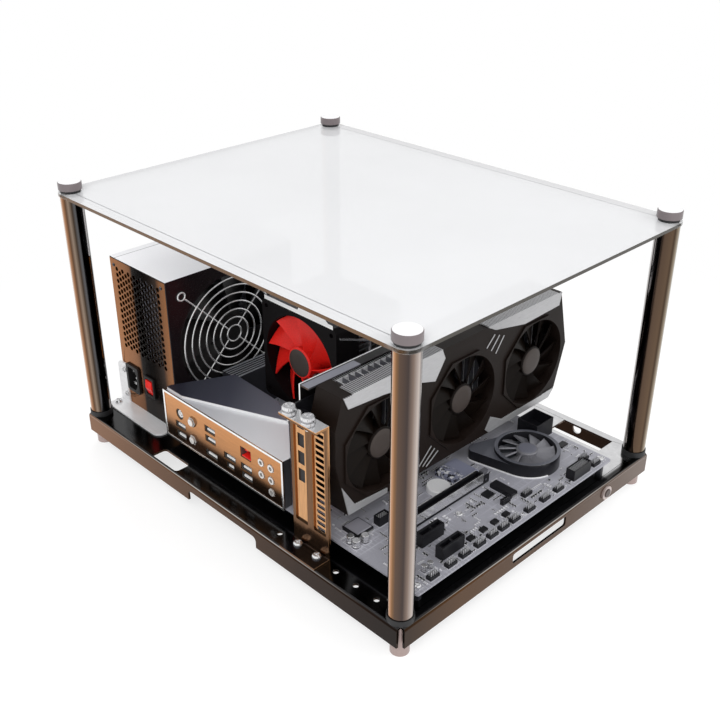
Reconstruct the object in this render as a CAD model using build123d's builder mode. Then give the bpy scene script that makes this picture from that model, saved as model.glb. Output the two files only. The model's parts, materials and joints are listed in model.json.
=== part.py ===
"""Open air test bench with its computer parts fitted. Millimetres, +Z up, feet on Z = 0, card side at -Y."""
import math
import os

from build123d import *

os.makedirs("parts", exist_ok=True)

# Tray: one sheet folded down on four sides
SHEET = 2.0
RIM = 18.0
BEND_R = 2.5
CORNER_GAP = 4.0
ROW_PITCH = 21.33
ROW_HOLE_D = 4.5
CABLE_HOLE_X = 14.0
CABLE_HOLE_Y = 36.0
FAR_HOLE_X = 21.0
FAR_HOLE_Y = 52.0
FAR_HOLE_EDGE = 9.0
RIM_SLOT_L = 69.0
SHALLOW_L = 90.0

# Posts, feet and top plate
FOOT_D = 14.5
FOOT_DROP = 12.0
POST_D = 19.0
POST_H = 214.0
POST_EDGE = 1.0
COLLAR_WALL = 0.75
COLLAR_H = 5.0
PLATE_T = 3.0
PLATE_CORNER_R = 10.5
CAP_D = 20.0
CAP_H = 6.5
CAP_BEVEL = 0.6
WASHER_D = 17.0
WASHER_H = 2.5
STUD_D = 6.0
STUD_L = 14.0
FIT = 0.1

# Power button in the front rim
BUTTON_FROM_FAR = 67.5
BUTTON_D = 7.6
BUTTON_PROUD = 1.0
BUTTON_SLIP = 0.25
BEZEL_D = 12.4
BEZEL_T = 1.6
BARREL_D = 10.0
BARREL_L = 12.0
BARREL_WALL = 0.8
BUTTON_LIP = 1.2

# Mainboard, standing on posts of its own
IO_MARGIN = 26.5
FAR_MARGIN = 49.5
FRONT_MARGIN = 9.0
BOARD_T = 1.6
BOARD_CORNER_R = 2.0
STANDOFF_H = 9.5
STANDOFF_R = 3.2
BOARD_SCREW_D = 3.0
BOARD_HEAD_D = 6.0
BOARD_HEAD_H = 1.8
SLOT_FIRST = 16.0
SLOT_PITCH = 20.32
GPU_SLOT = 5
LOWER_SLOT = 2
SLOT_TO_IO = 23.4
IO_EDGE = 4.0

# Input and output panel: steps along Y from one port column to the next, between the panel's two ends
IO_STEPS = (15.0, 12.0, 19.7, 21.9, 25.8, 24.3, 19.0, 22.3)
SHIELD_OUT = 1.7
SHIELD_T = 0.8
SHIELD_H = 46.2
SHIELD_DROP = 0.6
HEM_W = 2.0
HEM_T = 0.6
PORT_W = 16.0
PORT_DEPTH = 17.0
SOCKET_DEPTH = 11.0
WINDOW_EDGE = 0.5
USB_W = 13.2
USB_H = 5.4
AUDIO_DEPTH = 8.0
AUDIO_R = 3.3
AUDIO_BORE_R = 1.8
ANTENNA_R = 3.2
ANTENNA_OUT = 3.5
COVER_L = 58.0
COVER_WALL = 1.6
COVER_STEP = 2.5

# Processor cooler
COVER_TO_FAN = 15.2
CPU_FAN = 92.0
CPU_FAN_T = 25.0
FIN_L = 50.0
FIN_N = 22
FIN_T = 0.8
SOCKET_SIZE = 54.0
SOCKET_H = 4.0
CPU_SIZE = 38.0
CPU_H = 3.5
BASE_SIZE = 42.0
BASE_H = 10.0
PIPE_W = 12.0
PIPE_T = 4.0
PIPE_BEND_R = 8.0
PIPE_SPREAD = 30.0
PIPE_RISE = 16.5
TOP_T = 1.2
TOP_LIP = 2.5
TOP_TAB = 7.0
CLIP_WIRE = 1.6
FAN_SHAFT_R = 1.5
RUN_FIT = 0.05
STRUT_T = 2.5
STRUT_W = 4.0
BLADE_T = 1.4
BLADE_FILL = 0.92
BLADE_RISE = 0.8
HUB_BEVEL = 0.8
FAN_HOLES = 0.875
FAN_HOLE_R = 2.1

# Heat sink beside the processor, memory and power sockets
VRM_L = 75.0
VRM_W = 20.0
VRM_H = 39.0
RAM_GAP = 24.0
RAM_PITCH = 20.0
FAR_STRIP = 53.5
MODULE_L = 133.0
MODULE_H = 42.0
MODULE_PCB_T = 1.3
SPREADER_T = 6.4
RAM_SLOT_W = 6.8
RAM_SLOT_H = 8.0
GROOVE_FLOOR = 3.2
GROOVE_SLIP = 0.15
FREE_GROOVE = 3.8

# Card slots and their latches
X16_L = 89.0
X1_L = 25.0
X16_FROM_IO = 47.0
X1_FROM_IO = 40.0
SLOT_W = 7.4
SLOT_H = 11.2
EAR_T = 1.2
EAR_L = 8.0
LATCH_SLIP = 0.3
LATCH_PIN_R = 1.0

# Low parts at the front of the board
CHIPSET_FROM_FAR = 52.6
CHIPSET_FROM_FRONT = 50.6
CHIPSET_R = 28.0
CHIPSET_H = 10.0
CHIPSET_RING_H = 3.0
CHIPSET_WALL = 3.2
CHIPSET_FLOOR = 3.0
CHIPSET_HUB_R = 9.4
TAIL_R = 7.0
TAIL_X = 28.0
TAIL_UNDER = 6.7
TAIL_GAP = 12.2
BATTERY_D = 20.0
BATTERY_H = 4.5
STORAGE_L = 26.0
STORAGE_H = 6.0
HEADER_L = 10.0
HEADER_W = 5.0
HEADER_H = 2.6
SOCKET_WALL = 0.8

# Power supply, standing on its side
PSU_GAP = 1.6
PSU_D = 86.0
PSU_BACK = 8.4
PSU_FAN = 120.0
PSU_SIDES = 20.0
PSU_ENDS = 30.0
PSU_SHEET = 1.2
PSU_FAN_T = 25.0
PSU_FAN_DOWN = 3.0
PSU_FAN_UP = 5.5
HEX_STEP_Y = 4.55
HEX_STEP_Z = 5.9
HEX_FLATS = 3.9
HEX_COLUMNS = 8
HEX_ROWS = 14
GRILLE_WIRE = 1.6
GRILLE_RINGS = 7
GRILLE_STEP = 7.8
RING_SIDES = 24
INLET_Y = 20.0
INLET_Z = 28.0
INLET_FLANGE = 2.0
INLET_BODY_L = 18.0
INLET_WALL = 2.0
SWITCH_Y = 15.0
SWITCH_Z = 21.0
SWITCH_FLANGE = 1.5
SWITCH_BODY_L = 10.0
SWITCH_WALL = 1.4
SWITCH_TILT = 8.0
BRACKET_FOOT = 18.0
BRACKET_T = 1.5
BRACKET_H = 43.0
BRACKET_POST_GAP = 1.2

# Graphics card
GPU_FAN_R = 39.0
GPU_FAN_WEB = 15.25
GPU_END = 9.5
GPU_TOP_BAND = 17.0
GPU_LOW_BAND = 9.0
GPU_RISE = 6.7
GPU_FRONT = 33.6
GPU_HUB_R = 13.5
GPU_PCB_T = 1.6
GPU_PCB_RISE = 3.0
SHROUD_D = 27.0
SHROUD_WALL = 2.0
RING_D = 15.0
RING_WALL = 1.5
TRIM_T = 1.0
GPU_BEZEL = 1.6
BEZEL_WIDER = 4.3
TOP_LID = 13.0
SINK_BASE = 4.0
SINK_FINS = 36
BACKPLATE_T = 1.5
BACKPLATE_GAP = 2.4
BOSS_R = 2.5

# Upright that holds the card's end bracket
HOLDER_OUT = 9.1
HOLDER_T = 1.5
CARD_BRACKET_T = 1.0
VENTS = 17
VENT_STEP = 5.2
VENT_L = 9.0
FLANGE_RISE = 107.0
FLANGE_L = 12.0
THUMB_D = 10.0
THUMB_H = 5.0
SCREW_D = 3.8
SCREW_HEAD_D = 7.4
SCREW_HEAD_H = 2.4

# Heights and plan of the frame
z_floor = FOOT_DROP + RIM
z_plate = z_floor + POST_H
z_washer = z_plate + PLATE_T
z_cap = z_washer + WASHER_H
io_l = sum(IO_STEPS)
board_x = COVER_L - SHIELD_OUT + COVER_TO_FAN + CPU_FAN_T + FIN_L + RAM_GAP + RAM_PITCH + FAR_STRIP
board_y = SLOT_FIRST + GPU_SLOT * SLOT_PITCH + SLOT_TO_IO + io_l + IO_EDGE
tray_x = IO_MARGIN + board_x + FAR_MARGIN
tray_y = FRONT_MARGIN + board_y + PSU_GAP + PSU_D + PSU_BACK
tray_x0 = -tray_x / 2
tray_x1 = tray_x / 2
mid_y = (BEZEL_T + BUTTON_PROUD) / 2
tray_y0 = mid_y - tray_y / 2
tray_y1 = mid_y + tray_y / 2
post_inset = POST_D / 2 + POST_EDGE
collar_r = POST_D / 2 + COLLAR_WALL
post_x = tray_x / 2 - post_inset
post_y = tray_y / 2 - post_inset
post_xy = [(sx * post_x, mid_y + sy * post_y) for sx in (-1, 1) for sy in (-1, 1)]

# Board edges, top face and slot lines
board_x0 = tray_x0 + IO_MARGIN
board_x1 = board_x0 + board_x
board_y0 = tray_y0 + FRONT_MARGIN
board_y1 = board_y0 + board_y
board_z0 = z_floor + STANDOFF_H
top = board_z0 + BOARD_T
slot_y = [board_y0 + SLOT_FIRST + k * SLOT_PITCH for k in range(GPU_SLOT + 1)]
io_y0 = slot_y[GPU_SLOT] + SLOT_TO_IO
io_y1 = io_y0 + io_l
shield_x = board_x0 - SHIELD_OUT
shield_z0 = top - SHIELD_DROP
shield_z1 = shield_z0 + SHIELD_H

# Cooler position
fan_x0 = board_x0 + COVER_L - SHIELD_OUT + COVER_TO_FAN
fin_x0 = fan_x0 + CPU_FAN_T
fin_x1 = fin_x0 + FIN_L
cpu_x = (fin_x0 + fin_x1) / 2
cpu_y = io_y0 + 0.395 * io_l
base_z0 = top + SOCKET_H + CPU_H
base_z1 = base_z0 + BASE_H
fan_z0 = base_z1 + PIPE_RISE
fan_z1 = fan_z0 + CPU_FAN
cpu_bore_r = 0.455 * CPU_FAN

# Power supply position
psu_x0 = tray_x0 + post_inset + collar_r + BRACKET_POST_GAP + BRACKET_FOOT
psu_x1 = psu_x0 + PSU_FAN + PSU_SIDES
psu_y0 = board_y1 + PSU_GAP
psu_y1 = psu_y0 + PSU_D
psu_z0 = z_floor
psu_z1 = psu_z0 + PSU_FAN + PSU_ENDS
psu_fan_x = (psu_x0 + psu_x1) / 2 - PSU_FAN_DOWN
psu_fan_z = (psu_z0 + psu_z1) / 2 + PSU_FAN_UP
psu_bore_r = 0.475 * PSU_FAN
flange_screw_y = psu_y1 - PSU_SHEET - SCREW_D / 2 - 0.8
flange_y0 = flange_screw_y - 3.4
inlet_y = flange_y0 - 0.6 - INLET_Y / 2
inlet_z = psu_z0 + 31.0
switch_y = inlet_y - INLET_Y / 2 - SWITCH_Y / 2 - 9.5
switch_z = psu_z0 + 32.5

# Graphics card position
gpu_y = slot_y[GPU_SLOT]
gpu_front = gpu_y - GPU_FRONT
gpu_pitch = 2 * GPU_FAN_R + GPU_FAN_WEB
gpu_l = 2 * gpu_pitch + 2 * (GPU_FAN_R + GPU_END)
gpu_h = 2 * GPU_FAN_R + GPU_TOP_BAND + GPU_LOW_BAND
gpu_x0 = board_x0 + 0.5
gpu_z0 = top + SLOT_H + GPU_RISE
gpu_z1 = gpu_z0 + gpu_h
gpu_fan_x = [gpu_x0 + GPU_END + GPU_FAN_R + i * gpu_pitch for i in range(3)]
gpu_fan_z = gpu_z0 + GPU_LOW_BAND + GPU_FAN_R
gpu_pcb_front = gpu_y - GPU_PCB_T / 2
gpu_pcb_back = gpu_y + GPU_PCB_T / 2
holder_x = board_x0 - HOLDER_OUT
holder_y1 = gpu_y + 3.0
holder_y0 = holder_y1 - 2 * SLOT_PITCH + 0.8
holder_mid_y = (holder_y0 + holder_y1) / 2
flange_z = top + FLANGE_RISE
thumb_x = holder_x - FLANGE_L / 2
thumb_y = [holder_y1 - 5.0 - k * SLOT_PITCH for k in range(2)]
row_x = holder_x - HOLDER_T - SCREW_HEAD_D / 2 - 0.6
row_y = [holder_mid_y + (k + 0.5) * ROW_PITCH for k in (-4, -3, -2, -1, 0, 1)]
holder_screw_xy = [(row_x, y) for y in row_y[3:5]]
psu_screw_xy = (psu_x0 - BRACKET_FOOT / 2, psu_y1 + 1.0)

MIN = (Align.MIN, Align.MIN, Align.MIN)


def keep(part, name):
    """Label a sub-part and write its STEP file."""
    part.label = name
    export_step(part, f"parts/{name}.step")


def block(x0, x1, y0, y1, z0, z1, mode=Mode.ADD):
    """Box between two opposite corners."""
    with Locations((x0, y0, z0)):
        Box(x1 - x0, y1 - y0, z1 - z0, align=MIN, mode=mode)


def upright(x, y, z, out):
    """Vertical plane facing out, with its own Y axis along +Z."""
    return Plane(origin=(x, y, z), x_dir=Vector(0, 0, 1).cross(Vector(*out)), z_dir=out)


def fan_frame(size, bore_r, depth, hub_r):
    """Square fan frame, front face at Z = 0, with struts and a bearing at its back."""
    with BuildPart() as frame:
        with BuildSketch():
            RectangleRounded(size, size, 0.05 * size)
            Circle(bore_r, mode=Mode.SUBTRACT)
            with GridLocations(FAN_HOLES * size, FAN_HOLES * size, 2, 2):
                Circle(FAN_HOLE_R, mode=Mode.SUBTRACT)
        extrude(amount=-depth)
        with BuildSketch(Plane.XY.offset(-depth)):
            with PolarLocations((hub_r + bore_r) / 2, 4, start_angle=45):
                Rectangle(bore_r - hub_r + 2, STRUT_W)
            Circle(hub_r)
            Circle(FAN_SHAFT_R + RUN_FIT, mode=Mode.SUBTRACT)
        extrude(amount=STRUT_T)
    return frame.part


def fan_rotor(hub_r, tip_r, front, back, shaft_end, blades, sweep):
    """Hub with twisted blades swept by an angle between two heights, and a shaft down to shaft_end."""
    reach = 2 * math.pi * tip_r / blades
    span = front - back
    with BuildPart() as blade:
        for share in (0, 0.5, 1):
            turn = math.radians(sweep * math.sqrt(share))
            out = Vector(math.cos(turn), math.sin(turn), 0)
            radius = 0.8 * hub_r + share * (1.04 * tip_r - 0.8 * hub_r)
            width = BLADE_FILL * (0.5 + 0.5 * share) * reach
            rise = BLADE_RISE * (1 - 0.15 * share) * span
            origin = out * radius + Vector(0, 0, front - HUB_BEVEL - BLADE_T / 2 - rise / 2)
            with BuildSketch(Plane(origin=origin, x_dir=Vector(0, 0, 1).cross(out), z_dir=out)):
                Rectangle(math.hypot(width, rise), BLADE_T, rotation=math.degrees(math.atan2(rise, width)))
        loft()
    with BuildPart() as rotor:
        with BuildSketch(Plane.XY.offset(back)):
            Circle(hub_r)
        extrude(amount=span)
        chamfer(rotor.faces().sort_by(Axis.Z)[-1].edges(), HUB_BEVEL)
        with PolarLocations(0, blades):
            add(blade.part)
        with BuildSketch(Plane.XY.offset(back)):
            Circle(tip_r)
        extrude(amount=span, mode=Mode.INTERSECT)
        with BuildSketch(Plane.XY.offset(shaft_end)):
            Circle(FAN_SHAFT_R)
        extrude(amount=back - shaft_end)
    return rotor.part


# Tray with its fold, open corners, cable holes and hole row
front_rim = upright(0, tray_y0, 0, (0, -1, 0))
io_rim = upright(tray_x0, 0, 0, (-1, 0, 0))
far_rim = upright(tray_x1, 0, 0, (1, 0, 0))
button_x = tray_x1 - BUTTON_FROM_FAR
button_z = z_floor - 0.53 * RIM
cable_x = (tray_x0 + board_x0) / 2 - 3.5
cable_y = io_y1 - 23.4
far_hole_x = tray_x1 - FAR_HOLE_EDGE - FAR_HOLE_X / 2
far_hole_y = board_y0 + 50.0
with BuildPart() as base_tray:
    with BuildSketch(Plane((0, mid_y, FOOT_DROP))):
        Rectangle(tray_x, tray_y)
    extrude(amount=RIM)
    fillet(base_tray.faces().sort_by(Axis.Z)[-1].edges(), BEND_R)
    with BuildSketch(Plane((0, mid_y, FOOT_DROP))):
        Rectangle(tray_x - 2 * SHEET, tray_y - 2 * SHEET)
    extrude(amount=RIM - SHEET, mode=Mode.SUBTRACT)
    with BuildSketch(Plane((0, mid_y, FOOT_DROP))):
        with GridLocations(tray_x, tray_y, 2, 2):
            Rectangle(2 * CORNER_GAP, 2 * CORNER_GAP)
    extrude(amount=RIM, mode=Mode.SUBTRACT)
    with BuildSketch(Plane.XY.offset(z_floor)):
        with Locations(*post_xy):
            Circle(STUD_D / 2 + FIT)
        with Locations(*[(row_x, y) for y in row_y], psu_screw_xy):
            Circle(ROW_HOLE_D / 2)
        with Locations((cable_x, cable_y)):
            RectangleRounded(CABLE_HOLE_X, CABLE_HOLE_Y, 3)
        with Locations((far_hole_x, far_hole_y)):
            RectangleRounded(FAR_HOLE_X, FAR_HOLE_Y, 1)
    extrude(amount=-2 * SHEET, mode=Mode.SUBTRACT)
    with BuildSketch(front_rim):
        with Locations((button_x, button_z)):
            Circle(BARREL_D / 2 + FIT)
        with Locations((0, z_floor - 0.47 * RIM)):
            RectangleRounded(RIM_SLOT_L, 0.5 * RIM, 2)
    extrude(amount=-2 * SHEET, mode=Mode.SUBTRACT)
    with BuildSketch(io_rim):
        with Locations((0, FOOT_DROP)):
            RectangleRounded(SHALLOW_L, 1.1 * RIM, 4)
    extrude(amount=-2 * SHEET, mode=Mode.SUBTRACT)
    with BuildSketch(far_rim):
        with Locations((far_hole_y + 16.0, z_floor - 0.5 * RIM)):
            Circle(0.25 * RIM)
    extrude(amount=-2 * SHEET, mode=Mode.SUBTRACT)
keep(base_tray.part, "base_tray")

# Feet with studs that run up through the tray into the posts
with BuildPart() as feet:
    with BuildSketch():
        with Locations(*post_xy):
            Circle(FOOT_D / 2)
    extrude(amount=z_floor - SHEET)
    with BuildSketch(Plane.XY.offset(z_floor - SHEET)):
        with Locations(*post_xy):
            Circle(STUD_D / 2)
    extrude(amount=SHEET + STUD_L)
keep(feet.part, "feet")

# Posts, bored at both ends
with BuildPart() as posts:
    with BuildSketch(Plane.XY.offset(z_floor)):
        with Locations(*post_xy):
            Circle(POST_D / 2)
    extrude(amount=POST_H)
    for end, way in ((z_floor, 1), (z_plate, -1)):
        with BuildSketch(Plane.XY.offset(end)):
            with Locations(*post_xy):
                Circle(STUD_D / 2 + FIT)
        extrude(amount=way * (STUD_L + 2), mode=Mode.SUBTRACT)
keep(posts.part, "posts")

# Collars round the foot of each post
with BuildPart() as post_collars:
    with BuildSketch(Plane.XY.offset(z_floor)):
        with Locations(*post_xy):
            Circle(collar_r)
        with Locations(*post_xy):
            Circle(POST_D / 2 + FIT, mode=Mode.SUBTRACT)
    extrude(amount=COLLAR_H)
keep(post_collars.part, "post_collars")

# Clear plate over the posts
with BuildPart() as top_plate:
    with BuildSketch(Plane.XY.offset(z_plate)):
        with Locations((0, mid_y)):
            RectangleRounded(tray_x, tray_y, PLATE_CORNER_R)
        with Locations(*post_xy):
            Circle(STUD_D / 2 + FIT, mode=Mode.SUBTRACT)
    extrude(amount=PLATE_T)
keep(top_plate.part, "top_plate")

# Washers between plate and caps
with BuildPart() as plate_washers:
    with BuildSketch(Plane.XY.offset(z_washer)):
        with Locations(*post_xy):
            Circle(WASHER_D / 2)
        with Locations(*post_xy):
            Circle(STUD_D / 2 + FIT, mode=Mode.SUBTRACT)
    extrude(amount=WASHER_H)
keep(plate_washers.part, "plate_washers")

# Caps with studs that clamp the plate to the posts
with BuildPart() as plate_caps:
    with BuildSketch(Plane.XY.offset(z_cap)):
        with Locations(*post_xy):
            Circle(CAP_D / 2)
    extrude(amount=CAP_H)
    chamfer(plate_caps.faces().sort_by(Axis.Z)[-4:].edges(), CAP_BEVEL)
    with BuildSketch(Plane.XY.offset(z_cap)):
        with Locations(*post_xy):
            Circle(STUD_D / 2)
    extrude(amount=-(WASHER_H + PLATE_T + STUD_L))
keep(plate_caps.part, "plate_caps")

# Power button: barrel with a bezel, and the cap held behind its lip
button_face = upright(button_x, tray_y0, button_z, (0, -1, 0))
with BuildPart() as power_button_body:
    with BuildSketch(button_face):
        Circle(BEZEL_D / 2)
    extrude(amount=BEZEL_T)
    with BuildSketch(button_face):
        Circle(BARREL_D / 2)
    extrude(amount=-BARREL_L)
    with BuildSketch(button_face.offset(BEZEL_T)):
        Circle(BUTTON_D / 2 + BUTTON_SLIP)
    extrude(amount=-(BEZEL_T + BARREL_L / 2), mode=Mode.SUBTRACT)
    with BuildSketch(button_face.offset(-BUTTON_LIP)):
        Circle(BARREL_D / 2 - BARREL_WALL)
    extrude(amount=-(BARREL_L - BUTTON_LIP - BARREL_WALL), mode=Mode.SUBTRACT)
keep(power_button_body.part, "power_button_body")

with BuildPart() as power_button:
    with BuildSketch(button_face.offset(-BUTTON_LIP)):
        Circle(BARREL_D / 2 - BARREL_WALL - BUTTON_SLIP / 2)
    extrude(amount=-2.0)
    with BuildSketch(button_face.offset(-BUTTON_LIP)):
        Circle(BUTTON_D / 2)
    extrude(amount=BUTTON_LIP + BEZEL_T + BUTTON_PROUD)
    chamfer(power_button.faces().sort_by(Axis.Y)[0].edges(), 0.4)
keep(power_button.part, "power_button")

# Board on its standoffs, with a screw at each
mount_xy = [
    (board_x0 + 7.0, board_y0 + 7.0),
    (board_x0 + 0.377 * board_x, slot_y[1] + 4.3),
    (board_x1 - 6.0, board_y0 + 7.0),
    (board_x0 + 7.0, io_y0 - 7.0),
    (cpu_x + 12.0, io_y0 - 7.0),
    (board_x1 - 6.0, io_y0 - 7.0),
    (board_x0 + 23.5, board_y1 - 6.5),
    (fin_x1 + 12.0, board_y1 - 6.5),
    (board_x1 - 6.0, board_y1 - 6.5),
]
with BuildPart() as standoffs:
    with BuildSketch(Plane.XY.offset(z_floor)):
        with Locations(*mount_xy):
            RegularPolygon(STANDOFF_R, 6)
        with Locations(*mount_xy):
            Circle(BOARD_SCREW_D / 2 + FIT, mode=Mode.SUBTRACT)
    extrude(amount=STANDOFF_H)
keep(standoffs.part, "standoffs")

with BuildPart() as motherboard:
    with BuildSketch(Plane.XY.offset(board_z0)):
        with Locations(((board_x0 + board_x1) / 2, (board_y0 + board_y1) / 2)):
            RectangleRounded(board_x, board_y, BOARD_CORNER_R)
        with Locations(*mount_xy):
            Circle(BOARD_SCREW_D / 2 + FIT, mode=Mode.SUBTRACT)
    extrude(amount=BOARD_T)
keep(motherboard.part, "motherboard")

with BuildPart() as board_screws:
    with BuildSketch(Plane.XY.offset(top)):
        with Locations(*mount_xy):
            Circle(BOARD_HEAD_D / 2)
    extrude(amount=BOARD_HEAD_H)
    with BuildSketch(Plane.XY.offset(top)):
        with Locations(*mount_xy):
            Circle(BOARD_SCREW_D / 2)
    extrude(amount=-(BOARD_T + 0.5 * STANDOFF_H))
keep(board_screws.part, "board_screws")

# Port columns: place along Y, body height, and the sockets as height, width and opening
column_y = [io_y0 + sum(IO_STEPS[: k + 1]) for k in range(len(IO_STEPS) - 1)]
stacks = [
    (column_y[2], 38.0, [(31.0, 12.4, 9.0), (17.1, USB_W, USB_H), (8.4, USB_W, USB_H)]),
    (column_y[3], 22.5, [(17.0, 14.4, 5.2), (8.4, 9.0, 4.4)]),
    (column_y[4], 37.0, [(31.7, USB_W, USB_H), (22.3, USB_W, USB_H), (7.6, 15.0, 5.2)]),
    (column_y[6], 36.5, [(17.6, USB_W, USB_H), (7.7, USB_W, USB_H)]),
]
audio_yz = [(column_y[k], z) for k, z in ((0, 32.4), (0, 20.9), (0, 9.6), (1, 32.4), (1, 20.9))]
antenna_yz = [(column_y[5], 29.8), (column_y[5], 11.9)]
keyboard_yz = (column_y[6], 29.0)
KEYBOARD_R = 4.6
io_face = upright(shield_x, 0, 0, (-1, 0, 0))

with BuildPart() as io_shield:
    with BuildSketch(io_face):
        with Locations((-(io_y0 + io_y1) / 2, (shield_z0 + shield_z1) / 2)):
            Rectangle(io_l, SHIELD_H)
        for y, _, sockets in stacks:
            for z, width, height in sockets:
                with Locations((-y, top + z)):
                    Rectangle(width + 2 * WINDOW_EDGE, height + 2 * WINDOW_EDGE, mode=Mode.SUBTRACT)
        with Locations(*[(-y, top + z) for y, z in audio_yz]):
            Circle(AUDIO_R + WINDOW_EDGE, mode=Mode.SUBTRACT)
        with Locations(*[(-y, top + z) for y, z in antenna_yz]):
            Circle(ANTENNA_R + WINDOW_EDGE, mode=Mode.SUBTRACT)
        with Locations((-keyboard_yz[0], top + keyboard_yz[1])):
            Circle(KEYBOARD_R + WINDOW_EDGE, mode=Mode.SUBTRACT)
    extrude(amount=SHIELD_T)
    with BuildSketch(io_face.offset(SHIELD_T)):
        with Locations((-(io_y0 + io_y1) / 2, (shield_z0 + shield_z1) / 2)):
            Rectangle(io_l, SHIELD_H)
            Rectangle(io_l - 2 * HEM_W, SHIELD_H - 2 * HEM_W, mode=Mode.SUBTRACT)
    extrude(amount=HEM_T)
keep(io_shield.part, "io_shield")

with BuildPart() as io_ports:
    for y, body_h, sockets in stacks:
        block(shield_x, shield_x + PORT_DEPTH, y - PORT_W / 2, y + PORT_W / 2, top, top + body_h)
        for z, width, height in sockets:
            with BuildSketch(io_face):
                with Locations((-y, top + z)):
                    Rectangle(width, height)
            extrude(amount=-SOCKET_DEPTH, mode=Mode.SUBTRACT)
    with BuildSketch(io_face):
        with Locations((-keyboard_yz[0], top + keyboard_yz[1])):
            Circle(KEYBOARD_R)
    extrude(amount=-SOCKET_DEPTH, mode=Mode.SUBTRACT)
keep(io_ports.part, "io_ports")

with BuildPart() as io_round_ports:
    block(shield_x, shield_x + AUDIO_DEPTH, column_y[0] - 5.5, column_y[1] + 5.5, top, top + 38.0)
    block(shield_x, shield_x + AUDIO_DEPTH, column_y[5] - 5.0, column_y[5] + 5.0, top, top + 35.0)
    with BuildSketch(io_face):
        with Locations(*[(-y, top + z) for y, z in audio_yz]):
            Circle(AUDIO_R)
    extrude(amount=SHIELD_T + HEM_T)
    with BuildSketch(io_face):
        with Locations(*[(-y, top + z) for y, z in antenna_yz]):
            Circle(ANTENNA_R)
    extrude(amount=ANTENNA_OUT)
    with BuildSketch(io_face.offset(SHIELD_T + HEM_T)):
        with Locations(*[(-y, top + z) for y, z in audio_yz]):
            Circle(AUDIO_BORE_R)
    extrude(amount=-0.8 * AUDIO_DEPTH, mode=Mode.SUBTRACT)
keep(io_round_ports.part, "io_round_ports")

# Cover over the ports: corners as shares of its length and of the panel's
cover_z = shield_z1 - 0.5
cover_uv = [(0, 0.006), (0, 0.985), (0.1, 0.985), (1, 0.83), (0.95, 0.44), (0.69, 0.25), (0.14, 0.006)]
facet_uv = [(0.03, 0.845), (0.03, 0.985), (0.1, 0.985), (1, 0.83), (0.95, 0.44), (0.69, 0.25)]
cover_xy = [(shield_x + u * COVER_L, io_y0 + v * io_l) for u, v in cover_uv]
facet_xy = [(shield_x + u * COVER_L, io_y0 + v * io_l) for u, v in facet_uv]
with BuildPart() as io_cover:
    with BuildSketch(Plane.XY.offset(top)):
        with BuildLine():
            Polyline(*cover_xy, close=True)
        make_face()
    extrude(amount=cover_z - top)
    with BuildSketch(Plane.XY.offset(top)) as hollow:
        with BuildLine():
            Polyline(*cover_xy, close=True)
        make_face()
        offset(amount=-COVER_WALL)
    extrude(amount=cover_z - top - COVER_WALL, mode=Mode.SUBTRACT)
    open_y0 = cover_xy[0][1] + 2 * COVER_WALL
    open_y1 = cover_xy[1][1] - COVER_WALL
    open_x = shield_x + 1.5 * COVER_WALL
    block(shield_x, open_x, open_y0, open_y1, top, cover_z - COVER_WALL, mode=Mode.SUBTRACT)
    with BuildSketch(Plane.XY.offset(cover_z)):
        with BuildLine():
            Polyline(*facet_xy, close=True)
        make_face()
    extrude(amount=COVER_STEP)
keep(io_cover.part, "io_cover")

# Finned block at the back edge of the board
vrm_x0 = shield_x + COVER_L + 5.0
vrm_y0 = io_y1 - 1.0 - VRM_W
VRM_FINS = 6
with BuildPart() as vrm_heatsink:
    with BuildSketch(upright(vrm_x0, 0, 0, (1, 0, 0))):
        with Locations((vrm_y0 + VRM_W / 2, top + VRM_H / 2)):
            Rectangle(VRM_W, VRM_H)
        with Locations((vrm_y0 + VRM_W / 2, top + 0.6 * VRM_H)):
            with GridLocations(VRM_W / VRM_FINS, 1, VRM_FINS - 1, 1):
                Rectangle(0.5 * VRM_W / VRM_FINS, 0.81 * VRM_H, mode=Mode.SUBTRACT)
    extrude(amount=VRM_L)
keep(vrm_heatsink.part, "vrm_heatsink")

# Processor in its socket
with BuildPart() as cpu_socket:
    with BuildSketch(Plane.XY.offset(top)):
        with Locations((cpu_x, cpu_y)):
            RectangleRounded(SOCKET_SIZE, SOCKET_SIZE, 2)
    extrude(amount=SOCKET_H)
    with BuildSketch(Plane.XY.offset(top + SOCKET_H)):
        with Locations((cpu_x, cpu_y)):
            RectangleRounded(CPU_SIZE, CPU_SIZE, 2)
    extrude(amount=CPU_H)
keep(cpu_socket.part, "cpu_socket")

# Cooler: base block, two flattened pipes, fins slotted onto them and a top plate over fins and fan
with BuildPart() as cooler_base:
    with BuildSketch(Plane.XY.offset(base_z0)):
        with Locations((cpu_x, cpu_y)):
            RectangleRounded(BASE_SIZE, BASE_SIZE, 2)
    extrude(amount=BASE_H)
    chamfer(cooler_base.faces().sort_by(Axis.Z)[-1].edges(), 1.0)
keep(cooler_base.part, "cooler_base")

pipe_x = [cpu_x - 0.8 * PIPE_W, cpu_x + 0.8 * PIPE_W]
leg_y = [cpu_y - PIPE_SPREAD, cpu_y + PIPE_SPREAD]
pipe_z = base_z1 + PIPE_T / 2
with BuildPart() as heat_pipes:
    for x in pipe_x:
        with BuildLine() as path:
            FilletPolyline(
                (x, leg_y[0], fan_z1),
                (x, leg_y[0], pipe_z),
                (x, leg_y[1], pipe_z),
                (x, leg_y[1], fan_z1),
                radius=PIPE_BEND_R,
            )
        with BuildSketch(Plane(origin=(x, leg_y[0], fan_z1), x_dir=(1, 0, 0), z_dir=(0, 0, -1))):
            Rectangle(PIPE_W, PIPE_T)
        sweep(path=path.line)
keep(heat_pipes.part, "heat_pipes")

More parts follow.
